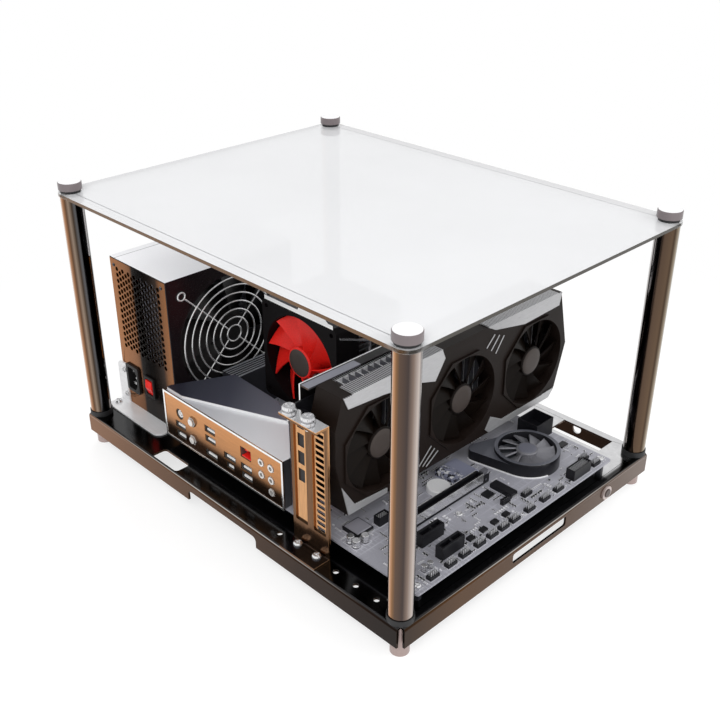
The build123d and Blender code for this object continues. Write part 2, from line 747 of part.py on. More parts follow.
fin_pitch = (CPU_FAN - FIN_T) / (FIN_N - 1)
with BuildPart() as cooler_fins:
    for i in range(FIN_N):
        with BuildSketch(Plane.XY.offset(fan_z0 + i * fin_pitch)):
            with Locations((cpu_x, cpu_y)):
                Rectangle(FIN_L, CPU_FAN)
            with Locations(*[(x, y) for x in pipe_x for y in leg_y]):
                Rectangle(PIPE_W, PIPE_T, mode=Mode.SUBTRACT)
        extrude(amount=FIN_T)
keep(cooler_fins.part, "cooler_fins")

with BuildPart() as cooler_top:
    block(fan_x0, fin_x1, cpu_y - 0.46 * CPU_FAN, cpu_y + 0.46 * CPU_FAN, fan_z1, fan_z1 + TOP_T)
    with BuildSketch(upright(fan_x0, cpu_y, fan_z1 + TOP_T, (-1, 0, 0))):
        with BuildLine():
            Polyline(
                (-0.46 * CPU_FAN, 0),
                (0.46 * CPU_FAN, 0),
                (0.46 * CPU_FAN, TOP_LIP),
                (0.4 * CPU_FAN, TOP_LIP),
                (0.33 * CPU_FAN, TOP_TAB),
                (0.03 * CPU_FAN, TOP_TAB),
                (0, TOP_LIP),
                (-0.46 * CPU_FAN, TOP_LIP),
                close=True,
            )
        make_face()
    extrude(amount=-TOP_T)
keep(cooler_top.part, "cooler_top")

cpu_fan_plane = upright(fan_x0, cpu_y, (fan_z0 + fan_z1) / 2, (-1, 0, 0))
cpu_hub_r = 0.152 * CPU_FAN
fan_back = STRUT_T + 0.5
cpu_frame = fan_frame(CPU_FAN, cpu_bore_r, CPU_FAN_T, cpu_hub_r)
keep(cpu_fan_plane * cpu_frame, "cpu_fan_frame")
cpu_rotor = fan_rotor(cpu_hub_r, cpu_bore_r - 1.2, 0.0, fan_back - CPU_FAN_T, -CPU_FAN_T, 9, 40.0)
keep(cpu_fan_plane * cpu_rotor, "cpu_fan_rotor")

# Wire clips from the fan to the fins
clip_z = (fan_z0 + fan_z1) / 2
clip_x = (-fan_x0 - 3.0, -fin_x0 - 0.24 * FIN_L)
with BuildPart() as fan_clips:
    for y in (cpu_y - CPU_FAN / 2, cpu_y + CPU_FAN / 2 + CLIP_WIRE):
        with BuildSketch(upright(0, y, 0, (0, 1, 0))):
            with BuildLine():
                Polyline(
                    (clip_x[0], clip_z + 0.42 * CPU_FAN),
                    (clip_x[1], clip_z + 0.28 * CPU_FAN),
                    (clip_x[1], clip_z - 0.28 * CPU_FAN),
                    (clip_x[0], clip_z - 0.42 * CPU_FAN),
                )
            trace(line_width=CLIP_WIRE)
        extrude(amount=-CLIP_WIRE)
keep(fan_clips.part, "fan_clips")

# Memory: slots, modules and the latch at the back end of each slot
ram_x = [fin_x1 + RAM_GAP + k * RAM_PITCH for k in range(2)]
ram_y0 = cpu_y - 0.4 * MODULE_L
ram_y1 = ram_y0 + MODULE_L + 5.0
ear_half = RAM_SLOT_W / 2
ram_pin_z = top + 4.0
with BuildPart() as memory_slots:
    for x in ram_x:
        block(x - ear_half, x + ear_half, ram_y0, ram_y1, top, top + RAM_SLOT_H)
        block(x - ear_half, x + ear_half, ram_y0, ram_y0 + 4.0, top, top + 2.2 * RAM_SLOT_H)
        block(x - ear_half, x + ear_half, ram_y1, ram_y1 + EAR_L, top, top + RAM_SLOT_H)
        slip = MODULE_PCB_T / 2 + GROOVE_SLIP
        groove_z = top + GROOVE_FLOOR
        block(x - slip, x + slip, ram_y0 + 4.0, ram_y1, groove_z, top + RAM_SLOT_H, mode=Mode.SUBTRACT)
        inner = ear_half - EAR_T
        block(x - inner, x + inner, ram_y1, ram_y1 + EAR_L, top + 0.8, top + RAM_SLOT_H, mode=Mode.SUBTRACT)
        with BuildSketch(upright(x - ear_half, 0, 0, (-1, 0, 0))):
            with Locations((-(ram_y1 + EAR_L / 2), ram_pin_z)):
                Circle(LATCH_PIN_R + RUN_FIT)
        extrude(amount=-RAM_SLOT_W, mode=Mode.SUBTRACT)
keep(memory_slots.part, "memory_slots")

with BuildPart() as memory_modules:
    for x in ram_x:
        half = MODULE_PCB_T / 2
        module_y0 = ram_y0 + 4.5
        block(x - half, x + half, module_y0, module_y0 + MODULE_L, top + GROOVE_FLOOR, top + MODULE_H - 2.0)
        with BuildSketch(upright(x + SPREADER_T / 2, 0, 0, (1, 0, 0))):
            with BuildLine():
                Polyline(
                    (module_y0, top + RAM_SLOT_H + 1.0),
                    (module_y0 + MODULE_L, top + RAM_SLOT_H + 1.0),
                    (module_y0 + MODULE_L, top + 0.85 * MODULE_H),
                    (module_y0 + 0.9 * MODULE_L, top + MODULE_H),
                    (module_y0 + 0.1 * MODULE_L, top + MODULE_H),
                    (module_y0, top + 0.85 * MODULE_H),
                    close=True,
                )
            make_face()
        extrude(amount=-SPREADER_T)
keep(memory_modules.part, "memory_modules")

for k, x in enumerate(ram_x):
    with BuildPart() as latch:
        half = ear_half - EAR_T - LATCH_SLIP
        with BuildSketch(upright(x + half, 0, 0, (1, 0, 0))):
            with BuildLine():
                Polyline(
                    (ram_y1 + 2.2, top + 2.0),
                    (ram_y1 + 5.8, top + 2.0),
                    (ram_y1 + 6.4, top + RAM_SLOT_H),
                    (ram_y1 + 9.0, top + 2.0 * RAM_SLOT_H),
                    (ram_y1 + 5.0, top + 2.0 * RAM_SLOT_H),
                    (ram_y1 + 1.6, top + 1.2 * RAM_SLOT_H),
                    close=True,
                )
            make_face()
        extrude(amount=-2 * half)
        with BuildSketch(upright(x + ear_half, 0, 0, (1, 0, 0))):
            with Locations((ram_y1 + EAR_L / 2, ram_pin_z)):
                Circle(LATCH_PIN_R)
        extrude(amount=-RAM_SLOT_W)
    keep(latch.part, f"memory_latch_{k + 1}")

# Card slots: two long ones with ears for a latch, two short ones
x16_x0 = board_x0 + X16_FROM_IO
x16_x1 = x16_x0 + X16_L
x1_x0 = board_x0 + X1_FROM_IO
slot_pin_z = top + 4.0
long_slot_y = [slot_y[GPU_SLOT], slot_y[LOWER_SLOT]]
slots = [(x16_x0, X16_L, y) for y in long_slot_y] + [(x1_x0, X1_L, y) for y in slot_y[:2]]
groove_half = {gpu_y: GPU_PCB_T / 2 + GROOVE_SLIP}
with BuildPart() as pcie_slots:
    for x, length, y in slots:
        block(x, x + length, y - SLOT_W / 2, y + SLOT_W / 2, top, top + SLOT_H)
    for y in long_slot_y:
        block(x16_x1, x16_x1 + EAR_L, y - SLOT_W / 2, y + SLOT_W / 2, top, top + 0.7 * SLOT_H)
        inner = SLOT_W / 2 - EAR_T
        block(x16_x1, x16_x1 + EAR_L, y - inner, y + inner, top + 0.8, top + SLOT_H, mode=Mode.SUBTRACT)
        with BuildSketch(upright(0, y - SLOT_W / 2, 0, (0, -1, 0))):
            with Locations((x16_x1 + EAR_L / 2, slot_pin_z)):
                Circle(LATCH_PIN_R + RUN_FIT)
        extrude(amount=-SLOT_W, mode=Mode.SUBTRACT)
    for x, length, y in slots:
        first = x + 1.6
        split = x + 13.0
        last = x + length - 1.6
        for a, b in ((first, split - 1.0), (split + 1.0, last)):
            groove_z = top + GROOVE_FLOOR
            half = groove_half.get(y, FREE_GROOVE / 2)
            block(a, b, y - half, y + half, groove_z, top + SLOT_H, mode=Mode.SUBTRACT)
keep(pcie_slots.part, "pcie_slots")

for k, y in enumerate(long_slot_y):
    with BuildPart() as latch:
        half = SLOT_W / 2 - EAR_T - LATCH_SLIP
        with BuildSketch(upright(0, y - half, 0, (0, -1, 0))):
            with BuildLine():
                Polyline(
                    (x16_x1 + 2.2, top + 2.0),
                    (x16_x1 + 5.8, top + 2.0),
                    (x16_x1 + 6.2, top + 0.7 * SLOT_H),
                    (x16_x1 + 8.4, top + SLOT_H),
                    (x16_x1 + 1.6, top + SLOT_H),
                    close=True,
                )
            make_face()
        extrude(amount=-2 * half)
        with BuildSketch(upright(0, y - SLOT_W / 2, 0, (0, -1, 0))):
            with Locations((x16_x1 + EAR_L / 2, slot_pin_z)):
                Circle(LATCH_PIN_R)
        extrude(amount=-SLOT_W)
    keep(latch.part, f"pcie_latch_{k + 1}")

# Teardrop cover with a fan well
chip_x = board_x1 - CHIPSET_FROM_FAR
chip_y = board_y0 + CHIPSET_FROM_FRONT
tail_x = chip_x - TAIL_X
tail_y = gpu_front - TRIM_T - TAIL_R + TAIL_UNDER
well_r = CHIPSET_R - CHIPSET_WALL
with BuildPart() as chipset_cover:
    with BuildSketch(Plane.XY.offset(top)):
        with Locations((chip_x, chip_y)):
            Circle(CHIPSET_R)
        with Locations((tail_x, tail_y)):
            Circle(TAIL_R)
        make_hull()
    extrude(amount=CHIPSET_H)
    with BuildSketch(Plane.XY.offset(top)):
        with Locations((chip_x, chip_y)):
            Circle(CHIPSET_R)
    extrude(amount=CHIPSET_H + CHIPSET_RING_H)
    with BuildSketch(Plane.XY.offset(top + CHIPSET_FLOOR)):
        with Locations((chip_x, chip_y)):
            Circle(well_r)
    extrude(amount=CHIPSET_H + CHIPSET_RING_H, mode=Mode.SUBTRACT)
    with BuildSketch(Plane.XY.offset(top)):
        with Locations((chip_x, chip_y)):
            Circle(FAN_SHAFT_R + RUN_FIT)
    extrude(amount=CHIPSET_FLOOR, mode=Mode.SUBTRACT)
keep(chipset_cover.part, "chipset_cover")

chip_plane = Plane((chip_x, chip_y, top + CHIPSET_H + CHIPSET_RING_H))
chip_depth = CHIPSET_H + CHIPSET_RING_H - CHIPSET_FLOOR
chip_rotor = fan_rotor(CHIPSET_HUB_R, well_r - 1.0, -1.0, 2.0 - chip_depth, -chip_depth - 2.0, 11, 20.0)
keep(chip_plane * chip_rotor, "chipset_fan_rotor")

# Storage cover and coin battery beside the lower slot
storage_x1 = tail_x - TAIL_R - TAIL_GAP
storage_y0 = slot_y[LOWER_SLOT] + SLOT_W / 2 + 4.0
with BuildPart() as storage_cover:
    with BuildSketch(Plane.XY.offset(top)):
        with Locations((storage_x1 - STORAGE_L / 2, storage_y0 + STORAGE_L / 2)):
            RectangleRounded(STORAGE_L, STORAGE_L, 1)
    extrude(amount=STORAGE_H)
    chamfer(storage_cover.faces().sort_by(Axis.Z)[-1].edges(), 0.8)
keep(storage_cover.part, "storage_cover")

battery_x = storage_x1 - STORAGE_L - BATTERY_D / 2 - 3.0
battery_y = storage_y0 + BATTERY_D / 2
with BuildPart() as coin_battery:
    with BuildSketch(Plane.XY.offset(top)):
        with Locations((battery_x, battery_y)):
            Circle(BATTERY_D / 2)
    extrude(amount=BATTERY_H)
    chamfer(coin_battery.faces().sort_by(Axis.Z)[-1].edges(), 0.6)
keep(coin_battery.part, "coin_battery")

# Pin headers along the front edge, drive and power sockets
header_share = (0.091, 0.171, 0.236, 0.307, 0.369, 0.425, 0.482, 0.56, 0.642, 0.718, 0.933)
drive_y1 = gpu_front - TRIM_T - 1.0
header_x = [board_x0 + share * board_x for share in header_share]
header_xy = [(x, board_y0 + 5.8) for x in header_x]
header_xy += [(board_x1 - 17.0, board_y0 + 17.0), (chip_x - 40.2, board_y0 + 20.0)]
connectors = [
    (board_x0 + 0.842 * board_x, board_y0 + 7.5, 24.0, 8.6, 10.0),
    (chip_x - 61.2, board_y0 + 25.0, HEADER_L, 3.2, 5.0),
    (board_x0 + 42.0, gpu_front - 7.5, 12.0, 7.0, 8.0),
    (board_x1 - 14.0, drive_y1 - 11.0, 24.0, 21.0, 17.0),
    (board_x1 - 7.0, cpu_y + 18.0, 10.0, 52.0, 13.0),
    (fin_x1 + 1.0, board_y1 - 7.0, 10.0, 10.0, 13.0),
]
with BuildPart() as board_connectors:
    with BuildSketch(Plane.XY.offset(top)):
        with Locations(*header_xy):
            Rectangle(HEADER_L, HEADER_W)
    extrude(amount=HEADER_H)
    for x, y, size_x, size_y, height in connectors:
        block(x - size_x / 2, x + size_x / 2, y - size_y / 2, y + size_y / 2, top, top + height)
        half_x = size_x / 2 - SOCKET_WALL
        half_y = size_y / 2 - SOCKET_WALL
        well_z0 = top + 0.35 * height
        block(x - half_x, x + half_x, y - half_y, y + half_y, well_z0, top + height, mode=Mode.SUBTRACT)
keep(board_connectors.part, "board_connectors")

# Flat chips and round capacitors
chips = [(x, board_y0 + 14.6, 6.0, 4.6, 2.0) for x in header_x[3:7]]
chips += [
    (board_x0 + 22.0, board_y0 + 83.0, 17.0, 17.0, 3.0),
    (chip_x - 63.2, chip_y - 9.2, 8.0, 8.0, 1.6),
    (chip_x - 49.7, board_y0 + 36.0, 8.0, 22.0, 4.0),
    (board_x1 - 12.0, chip_y - 8.2, 9.0, 6.0, 1.6),
]
cans = [
    (7.0, 76.0, 3.0, 6.5),
    (6.5, 69.0, 3.0, 6.5),
    (16.0, 69.0, 3.0, 6.5),
    (23.0, 15.0, 2.2, 5.0),
    (29.0, 14.5, 2.2, 5.0),
]
with BuildPart() as board_chips:
    for x, y, size_x, size_y, height in chips:
        block(x - size_x / 2, x + size_x / 2, y - size_y / 2, y + size_y / 2, top, top + height)
    for x, y, radius, height in cans:
        with BuildSketch(Plane.XY.offset(top)):
            with Locations((board_x0 + x, board_y0 + y)):
                Circle(radius)
        extrude(amount=height)
keep(board_chips.part, "board_chips")

# Power supply case: rear, back and far walls as one folded sheet with a honeycomb of vents
psu_rear = upright(psu_x0, 0, 0, (-1, 0, 0))
psu_fan_face = upright(psu_fan_x, psu_y0, psu_fan_z, (0, -1, 0))
hex_y = (psu_y0 + psu_y1) / 2 + 0.9
hex_z = psu_z1 - 48.4
flange_screw_yz = [(flange_screw_y, psu_z0 + 10.0), (flange_screw_y, psu_z0 + 36.0)]
with BuildPart() as psu_case:
    with BuildSketch(Plane.XY.offset(psu_z0 + PSU_SHEET)):
        with BuildLine():
            Polyline(
                (psu_x0, psu_y0 + PSU_SHEET),
                (psu_x0, psu_y1),
                (psu_x1, psu_y1),
                (psu_x1, psu_y0 + PSU_SHEET),
                (psu_x1 - PSU_SHEET, psu_y0 + PSU_SHEET),
                (psu_x1 - PSU_SHEET, psu_y1 - PSU_SHEET),
                (psu_x0 + PSU_SHEET, psu_y1 - PSU_SHEET),
                (psu_x0 + PSU_SHEET, psu_y0 + PSU_SHEET),
                close=True,
            )
        make_face()
    extrude(amount=psu_z1 - psu_z0 - 2 * PSU_SHEET)
    with BuildSketch(psu_rear):
        with Locations((-hex_y, hex_z)):
            with GridLocations(2 * HEX_STEP_Y, HEX_STEP_Z, HEX_COLUMNS, HEX_ROWS):
                RegularPolygon(HEX_FLATS / 2, 6, major_radius=False)
            with GridLocations(2 * HEX_STEP_Y, HEX_STEP_Z, HEX_COLUMNS - 1, HEX_ROWS - 1):
                RegularPolygon(HEX_FLATS / 2, 6, major_radius=False)
        with Locations((-inlet_y, inlet_z)):
            Rectangle(INLET_Y - 2, INLET_Z - 2)
        with Locations((-switch_y, switch_z)):
            Rectangle(SWITCH_Y - 2, SWITCH_Z - 2)
        with Locations(*[(-y, z) for y, z in flange_screw_yz]):
            Circle(SCREW_D / 2 + FIT)
    extrude(amount=-2 * PSU_SHEET, mode=Mode.SUBTRACT)
keep(psu_case.part, "psu_case")

# Power supply cover: fan wall with its two ends folded back
with BuildPart() as psu_cover:
    with BuildSketch(upright(psu_x0, 0, 0, (1, 0, 0))):
        with BuildLine():
            Polyline(
                (psu_y1, psu_z0),
                (psu_y0, psu_z0),
                (psu_y0, psu_z1),
                (psu_y1, psu_z1),
                (psu_y1, psu_z1 - PSU_SHEET),
                (psu_y0 + PSU_SHEET, psu_z1 - PSU_SHEET),
                (psu_y0 + PSU_SHEET, psu_z0 + PSU_SHEET),
                (psu_y1, psu_z0 + PSU_SHEET),
                close=True,
            )
        make_face()
    extrude(amount=psu_x1 - psu_x0)
    with BuildSketch(psu_fan_face):
        Circle(psu_bore_r)
    extrude(amount=-2 * PSU_SHEET, mode=Mode.SUBTRACT)
keep(psu_cover.part, "psu_cover")

psu_fan_plane = upright(psu_fan_x, psu_y0 + PSU_SHEET, psu_fan_z, (0, -1, 0))
psu_hub_r = 0.165 * PSU_FAN
psu_frame = fan_frame(PSU_FAN, psu_bore_r, PSU_FAN_T, psu_hub_r)
keep(psu_fan_plane * psu_frame, "psu_fan_frame")
psu_rotor = fan_rotor(psu_hub_r, psu_bore_r - 1.5, -1.5, fan_back - PSU_FAN_T, -PSU_FAN_T, 7, 25.0)
keep(psu_fan_plane * psu_rotor, "psu_fan_rotor")

# Wire guard: rings on four spokes that end in screw loops
loop_at = FAN_HOLES * PSU_FAN / math.sqrt(2)
LOOP_R = 4.5
with BuildPart() as psu_grille:
    with BuildSketch(psu_fan_face):
        with PolarLocations((loop_at - LOOP_R + GRILLE_STEP) / 2, 4, start_angle=45):
            Rectangle(loop_at - LOOP_R - GRILLE_STEP + GRILLE_WIRE, GRILLE_WIRE)
        with PolarLocations(loop_at, 4, start_angle=45):
            RegularPolygon(LOOP_R, 12)
        with PolarLocations(loop_at, 4, start_angle=45):
            RegularPolygon(LOOP_R - GRILLE_WIRE, 12, mode=Mode.SUBTRACT)
    extrude(amount=GRILLE_WIRE)
    with BuildSketch(psu_fan_face.offset(GRILLE_WIRE)):
        for k in range(GRILLE_RINGS, 0, -1):
            RegularPolygon(k * GRILLE_STEP + GRILLE_WIRE / 2, RING_SIDES)
            RegularPolygon(k * GRILLE_STEP - GRILLE_WIRE / 2, RING_SIDES, mode=Mode.SUBTRACT)
    extrude(amount=GRILLE_WIRE)
keep(psu_grille.part, "psu_grille")

# Mains inlet with three pins in its well
with BuildPart() as power_inlet:
    with BuildSketch(psu_rear):
        with Locations((-inlet_y, inlet_z)):
            RectangleRounded(INLET_Y, INLET_Z, 2)
    extrude(amount=INLET_FLANGE)
    with BuildSketch(psu_rear):
        with Locations((-inlet_y, inlet_z)):
            Rectangle(INLET_Y - 2, INLET_Z - 2)
    extrude(amount=-INLET_BODY_L)
    well_y = INLET_Y - 2 - 2 * INLET_WALL
    well_z = INLET_Z - 2 - 2 * INLET_WALL
    with BuildSketch(upright(psu_x0 - INLET_FLANGE, inlet_y, inlet_z, (-1, 0, 0))):
        with BuildLine():
            Polyline(
                (-well_y / 2, -well_z / 2),
                (well_y / 4, -well_z / 2),
                (well_y / 2, -well_z / 4),
                (well_y / 2, well_z / 4),
                (well_y / 4, well_z / 2),
                (-well_y / 2, well_z / 2),
                close=True,
            )
        make_face()
    extrude(amount=-(INLET_FLANGE + INLET_BODY_L - INLET_WALL), mode=Mode.SUBTRACT)
    with BuildSketch(psu_rear.offset(INLET_WALL - INLET_BODY_L)):
        with Locations(*[(u - inlet_y, v + inlet_z) for u, v in ((-2, -6.5), (-2, 6.5), (2.5, 0))]):
            Rectangle(4.0, 2.0)
    extrude(amount=0.8 * INLET_BODY_L)
keep(power_inlet.part, "power_inlet")

# Rocker switch: frame with a pivot hole in each side wall, and the tilted rocker
rocker_plane = upright(psu_x0, switch_y, switch_z, (-1, 0, 0))
rocker_half = SWITCH_Y / 2 - 1 - SWITCH_WALL - LATCH_SLIP
rocker_z = SWITCH_Z / 2 - 1 - SWITCH_WALL
pivot_in = 3.0
with BuildPart() as switch_frame:
    with BuildSketch(rocker_plane):
        RectangleRounded(SWITCH_Y, SWITCH_Z, 1)
    extrude(amount=SWITCH_FLANGE)
    with BuildSketch(rocker_plane):
        Rectangle(SWITCH_Y - 2, SWITCH_Z - 2)
    extrude(amount=-SWITCH_BODY_L)
    with BuildSketch(rocker_plane.offset(SWITCH_FLANGE)):
        Rectangle(SWITCH_Y - 2 - 2 * SWITCH_WALL, SWITCH_Z - 2 - 2 * SWITCH_WALL)
    extrude(amount=-(SWITCH_FLANGE + SWITCH_BODY_L - SWITCH_WALL), mode=Mode.SUBTRACT)
    with BuildSketch(upright(psu_x0 + pivot_in, switch_y - SWITCH_Y / 2 + 1, switch_z, (0, -1, 0))):
        Circle(LATCH_PIN_R + RUN_FIT)
    extrude(amount=-(SWITCH_Y - 2), mode=Mode.SUBTRACT)
keep(switch_frame.part, "switch_frame")

tilt = math.radians(SWITCH_TILT)
rocker_side = Plane(
    origin=(psu_x0 + pivot_in, switch_y - rocker_half, switch_z),
    x_dir=(math.cos(tilt), 0, math.sin(tilt)),
    z_dir=(0, -1, 0),
)
with BuildPart() as power_switch:
    with BuildSketch(rocker_side):
        with BuildLine():
            Polyline(
                (3.2, -0.6 * rocker_z),
                (-4.0, -0.93 * rocker_z),
                (-5.6, 0),
                (-4.0, 0.93 * rocker_z),
                (3.2, 0.6 * rocker_z),
                close=True,
            )
        make_face()
    extrude(amount=-2 * rocker_half)
    with BuildSketch(upright(psu_x0 + pivot_in, switch_y - SWITCH_Y / 2 + 1, switch_z, (0, -1, 0))):
        Circle(LATCH_PIN_R)
    extrude(amount=-(SWITCH_Y - 2))
keep(power_switch.part, "power_switch")

# Circuit board inside the power supply, on pads, with its coils and heat sinks
psu_pcb_y = psu_y1 - PSU_SHEET - 6.0
psu_mid_x = (psu_x0 + psu_x1) / 2
with BuildPart() as psu_circuit_board:
    block(psu_x0 + 24.0, psu_x1 - 6.0, psu_pcb_y - 1.6, psu_pcb_y, psu_z0 + 8.0, psu_z1 - 8.0)
    for x in (psu_x0 + 34.0, psu_x1 - 16.0):
        for z in (psu_z0 + 18.0, psu_z1 - 18.0):
            block(x - 4.0, x + 4.0, psu_pcb_y, psu_y1 - PSU_SHEET, z - 4.0, z + 4.0)
    part_front = psu_pcb_y - 1.6
    for x, z, size_x, size_z, height in (
        (psu_x0 + 34.0, psu_z1 - 60.0, 5.0, 90.0, 30.0),
        (psu_x1 - 22.0, psu_z1 - 60.0, 5.0, 90.0, 30.0),
        (psu_mid_x, psu_z0 + 80.0, 34.0, 30.0, 28.0),
        (psu_mid_x, psu_z0 + 118.0, 24.0, 24.0, 24.0),
    ):
        block(x - size_x / 2, x + size_x / 2, part_front - height, part_front, z - size_z / 2, z + size_z / 2)
keep(psu_circuit_board.part, "psu_circuit_board")

# Angle that holds the power supply to the tray
foot_x0 = psu_x0 - BRACKET_FOOT
foot_y0 = psu_y0 + 8.5
foot_y1 = psu_y1 + 6.5
with BuildPart() as psu_bracket:
    with BuildSketch(Plane.XY.offset(z_floor)):
        with BuildLine():
            Polyline((psu_x0, foot_y0), (foot_x0, foot_y0), (foot_x0, foot_y1), (psu_x0, foot_y1), close=True)
        make_face()
        fillet(vertices().sort_by(Axis.X)[:2].sort_by(Axis.Y)[0], 0.45 * BRACKET_FOOT)
        with Locations(psu_screw_xy):
            Circle(SCREW_D / 2 + FIT, mode=Mode.SUBTRACT)
    extrude(amount=BRACKET_T)
    with BuildSketch(psu_rear):
        with BuildLine():
            Polyline(
                (-flange_y0, z_floor),
                (-flange_y0, z_floor + BRACKET_H),
                (-foot_y1 + 4.0, z_floor + BRACKET_H),
                (-foot_y1, z_floor + BRACKET_H - 4.0),
                (-foot_y1, z_floor),
                close=True,
            )
        make_face()
        with Locations(*[(-y, z) for y, z in flange_screw_yz]):
            Circle(SCREW_D / 2 + FIT, mode=Mode.SUBTRACT)
    extrude(amount=BRACKET_T)
keep(psu_bracket.part, "psu_bracket")

# Graphics card: board with its edge connector and display sockets
gpu_face = upright(0, gpu_front, 0, (0, -1, 0))
gpu_pcb_plane = upright(0, gpu_pcb_front, 0, (0, -1, 0))
card_x0 = holder_x + CARD_BRACKET_T
gpu_pcb_x1 = gpu_x0 + 0.955 * gpu_l
gpu_pcb_z0 = top + SLOT_H + GPU_PCB_RISE
gpu_pcb_z1 = gpu_z1 - 11.0
socket_z = [flange_z - 8.5 - 15.5 * k for k in range(4)]
with BuildPart() as gpu_circuit_board:
    with BuildSketch(gpu_pcb_plane):
        with BuildLine():
            Polyline(
                (card_x0, gpu_pcb_z0),
                (x16_x0 + 14.6, gpu_pcb_z0),
                (x16_x0 + 14.6, top + GROOVE_FLOOR),
                (x16_x1 - 2.2, top + GROOVE_FLOOR),
                (x16_x1 - 2.2, gpu_pcb_z0),
                (gpu_pcb_x1, gpu_pcb_z0),
                (gpu_pcb_x1, gpu_pcb_z1),
                (card_x0, gpu_pcb_z1),
                close=True,
            )
        make_face()
    extrude(amount=-GPU_PCB_T)
    with BuildSketch(gpu_pcb_plane):
        with Locations(*[(card_x0 + 3.2, z) for z in socket_z]):
            Rectangle(6.4, 13.0)
    extrude(amount=10.0)
keep(gpu_circuit_board.part, "gpu_circuit_board")

# Backplate with a lip folded over the top of the card
backplate_y1 = gpu_pcb_back + BACKPLATE_GAP + BACKPLATE_T
boss_z = (gpu_z0 + 0.11 * gpu_h, gpu_z1 - 0.16 * gpu_h)
boss_xz = [(x, z) for x in (gpu_x0 + 0.05 * gpu_l, gpu_x0 + 0.925 * gpu_l) for z in boss_z]
with BuildPart() as gpu_backplate:
    with BuildSketch(upright(gpu_x0, 0, 0, (1, 0, 0))):
        with BuildLine():
            Polyline(
                (backplate_y1, gpu_z0 + 4.0),
                (backplate_y1, gpu_z1),
                (gpu_pcb_front - 5.0, gpu_z1),
                (gpu_pcb_front - 5.0, gpu_z1 - BACKPLATE_T),
                (backplate_y1 - BACKPLATE_T, gpu_z1 - BACKPLATE_T),
                (backplate_y1 - BACKPLATE_T, gpu_z0 + 4.0),
                close=True,
            )
        make_face()
    extrude(amount=0.955 * gpu_l)
    with BuildSketch(upright(0, gpu_pcb_back, 0, (0, 1, 0))):
        with Locations(*[(-x, z) for x, z in boss_xz]):
            Circle(BOSS_R)
    extrude(amount=BACKPLATE_GAP)
keep(gpu_backplate.part, "gpu_backplate")

# Fin comb on the front of the card's board
sink_x0 = gpu_x0 + 0.075 * gpu_l
sink_x1 = gpu_x0 + 0.9 * gpu_l
sink_z0 = gpu_z0 + 0.1 * gpu_h
sink_z1 = gpu_z1 - SHROUD_WALL - 2.5
sink_tip = gpu_front + RING_D + 1.5
with BuildPart() as gpu_heatsink:
    with BuildSketch(Plane.XY.offset(sink_z0)):
        with Locations(((sink_x0 + sink_x1) / 2, gpu_pcb_front - SINK_BASE / 2)):
            Rectangle(sink_x1 - sink_x0, SINK_BASE)
        with Locations(((sink_x0 + sink_x1) / 2, (sink_tip + gpu_pcb_front) / 2)):
            with GridLocations((sink_x1 - sink_x0 - FIN_T) / (SINK_FINS - 1), 1, SINK_FINS, 1):
                Rectangle(FIN_T, gpu_pcb_front - sink_tip)
    extrude(amount=sink_z1 - sink_z0)
keep(gpu_heatsink.part, "gpu_heatsink")


def on_card(points):
    """Points of the card's front face from shares of its length and height."""
    return [(gpu_x0 + u * gpu_l, gpu_z0 + v * gpu_h) for u, v in points]


# Shroud: angular shell, open at the back, with three ringed fan openings
shroud_uv = [(0.025, 1), (0, 0.76), (0, 0.47), (0.042, 0), (0.93, 0), (0.96, 0.08), (1, 0.48), (0.95, 1)]
fan_xz = [(x, gpu_fan_z) for x in gpu_fan_x]
with BuildPart() as gpu_shroud:
    with BuildSketch(gpu_face):
        with BuildLine():
            Polyline(*on_card(shroud_uv), close=True)
        make_face()
    extrude(amount=-SHROUD_D)
    with BuildSketch(gpu_face.offset(-SHROUD_D)):
        with BuildLine():
            Polyline(*on_card(shroud_uv), close=True)
        make_face()
        offset(amount=-SHROUD_WALL)
    extrude(amount=SHROUD_D - SHROUD_WALL, mode=Mode.SUBTRACT)
    with BuildSketch(gpu_face):
        with Locations(*fan_xz):
            Circle(GPU_FAN_R + RING_WALL)
    extrude(amount=-RING_D)
    with BuildSketch(gpu_face):
        with Locations(*fan_xz):
            RegularPolygon(GPU_FAN_R + BEZEL_WIDER, 8, rotation=22.5)
    extrude(amount=GPU_BEZEL)
    with BuildSketch(gpu_face.offset(GPU_BEZEL)):
        with Locations(*fan_xz):
            Circle(GPU_FAN_R)
    extrude(amount=-(GPU_BEZEL + SHROUD_D), mode=Mode.SUBTRACT)
    lid_y = gpu_front + TOP_LID + 1.0
    back_y = gpu_front + SHROUD_D
    block(sink_x0, sink_x1, lid_y, back_y, gpu_z1 - 2 * SHROUD_WALL, gpu_z1, mode=Mode.SUBTRACT)
    for x, z in fan_xz:
        with BuildSketch(upright(x, gpu_front + RING_D, z, (0, -1, 0))):
            with PolarLocations((GPU_HUB_R + GPU_FAN_R) / 2, 3, start_angle=90):
                Rectangle(GPU_FAN_R - GPU_HUB_R + 2, STRUT_W)
            Circle(GPU_HUB_R)
            Circle(FAN_SHAFT_R + RUN_FIT, mode=Mode.SUBTRACT)
        extrude(amount=STRUT_T)
    with BuildSketch(gpu_face.offset(-SHROUD_WALL)):
        with Locations(*boss_xz):
            Circle(BOSS_R)
    extrude(amount=-(gpu_pcb_front - gpu_front - SHROUD_WALL))
keep(gpu_shroud.part, "gpu_shroud")

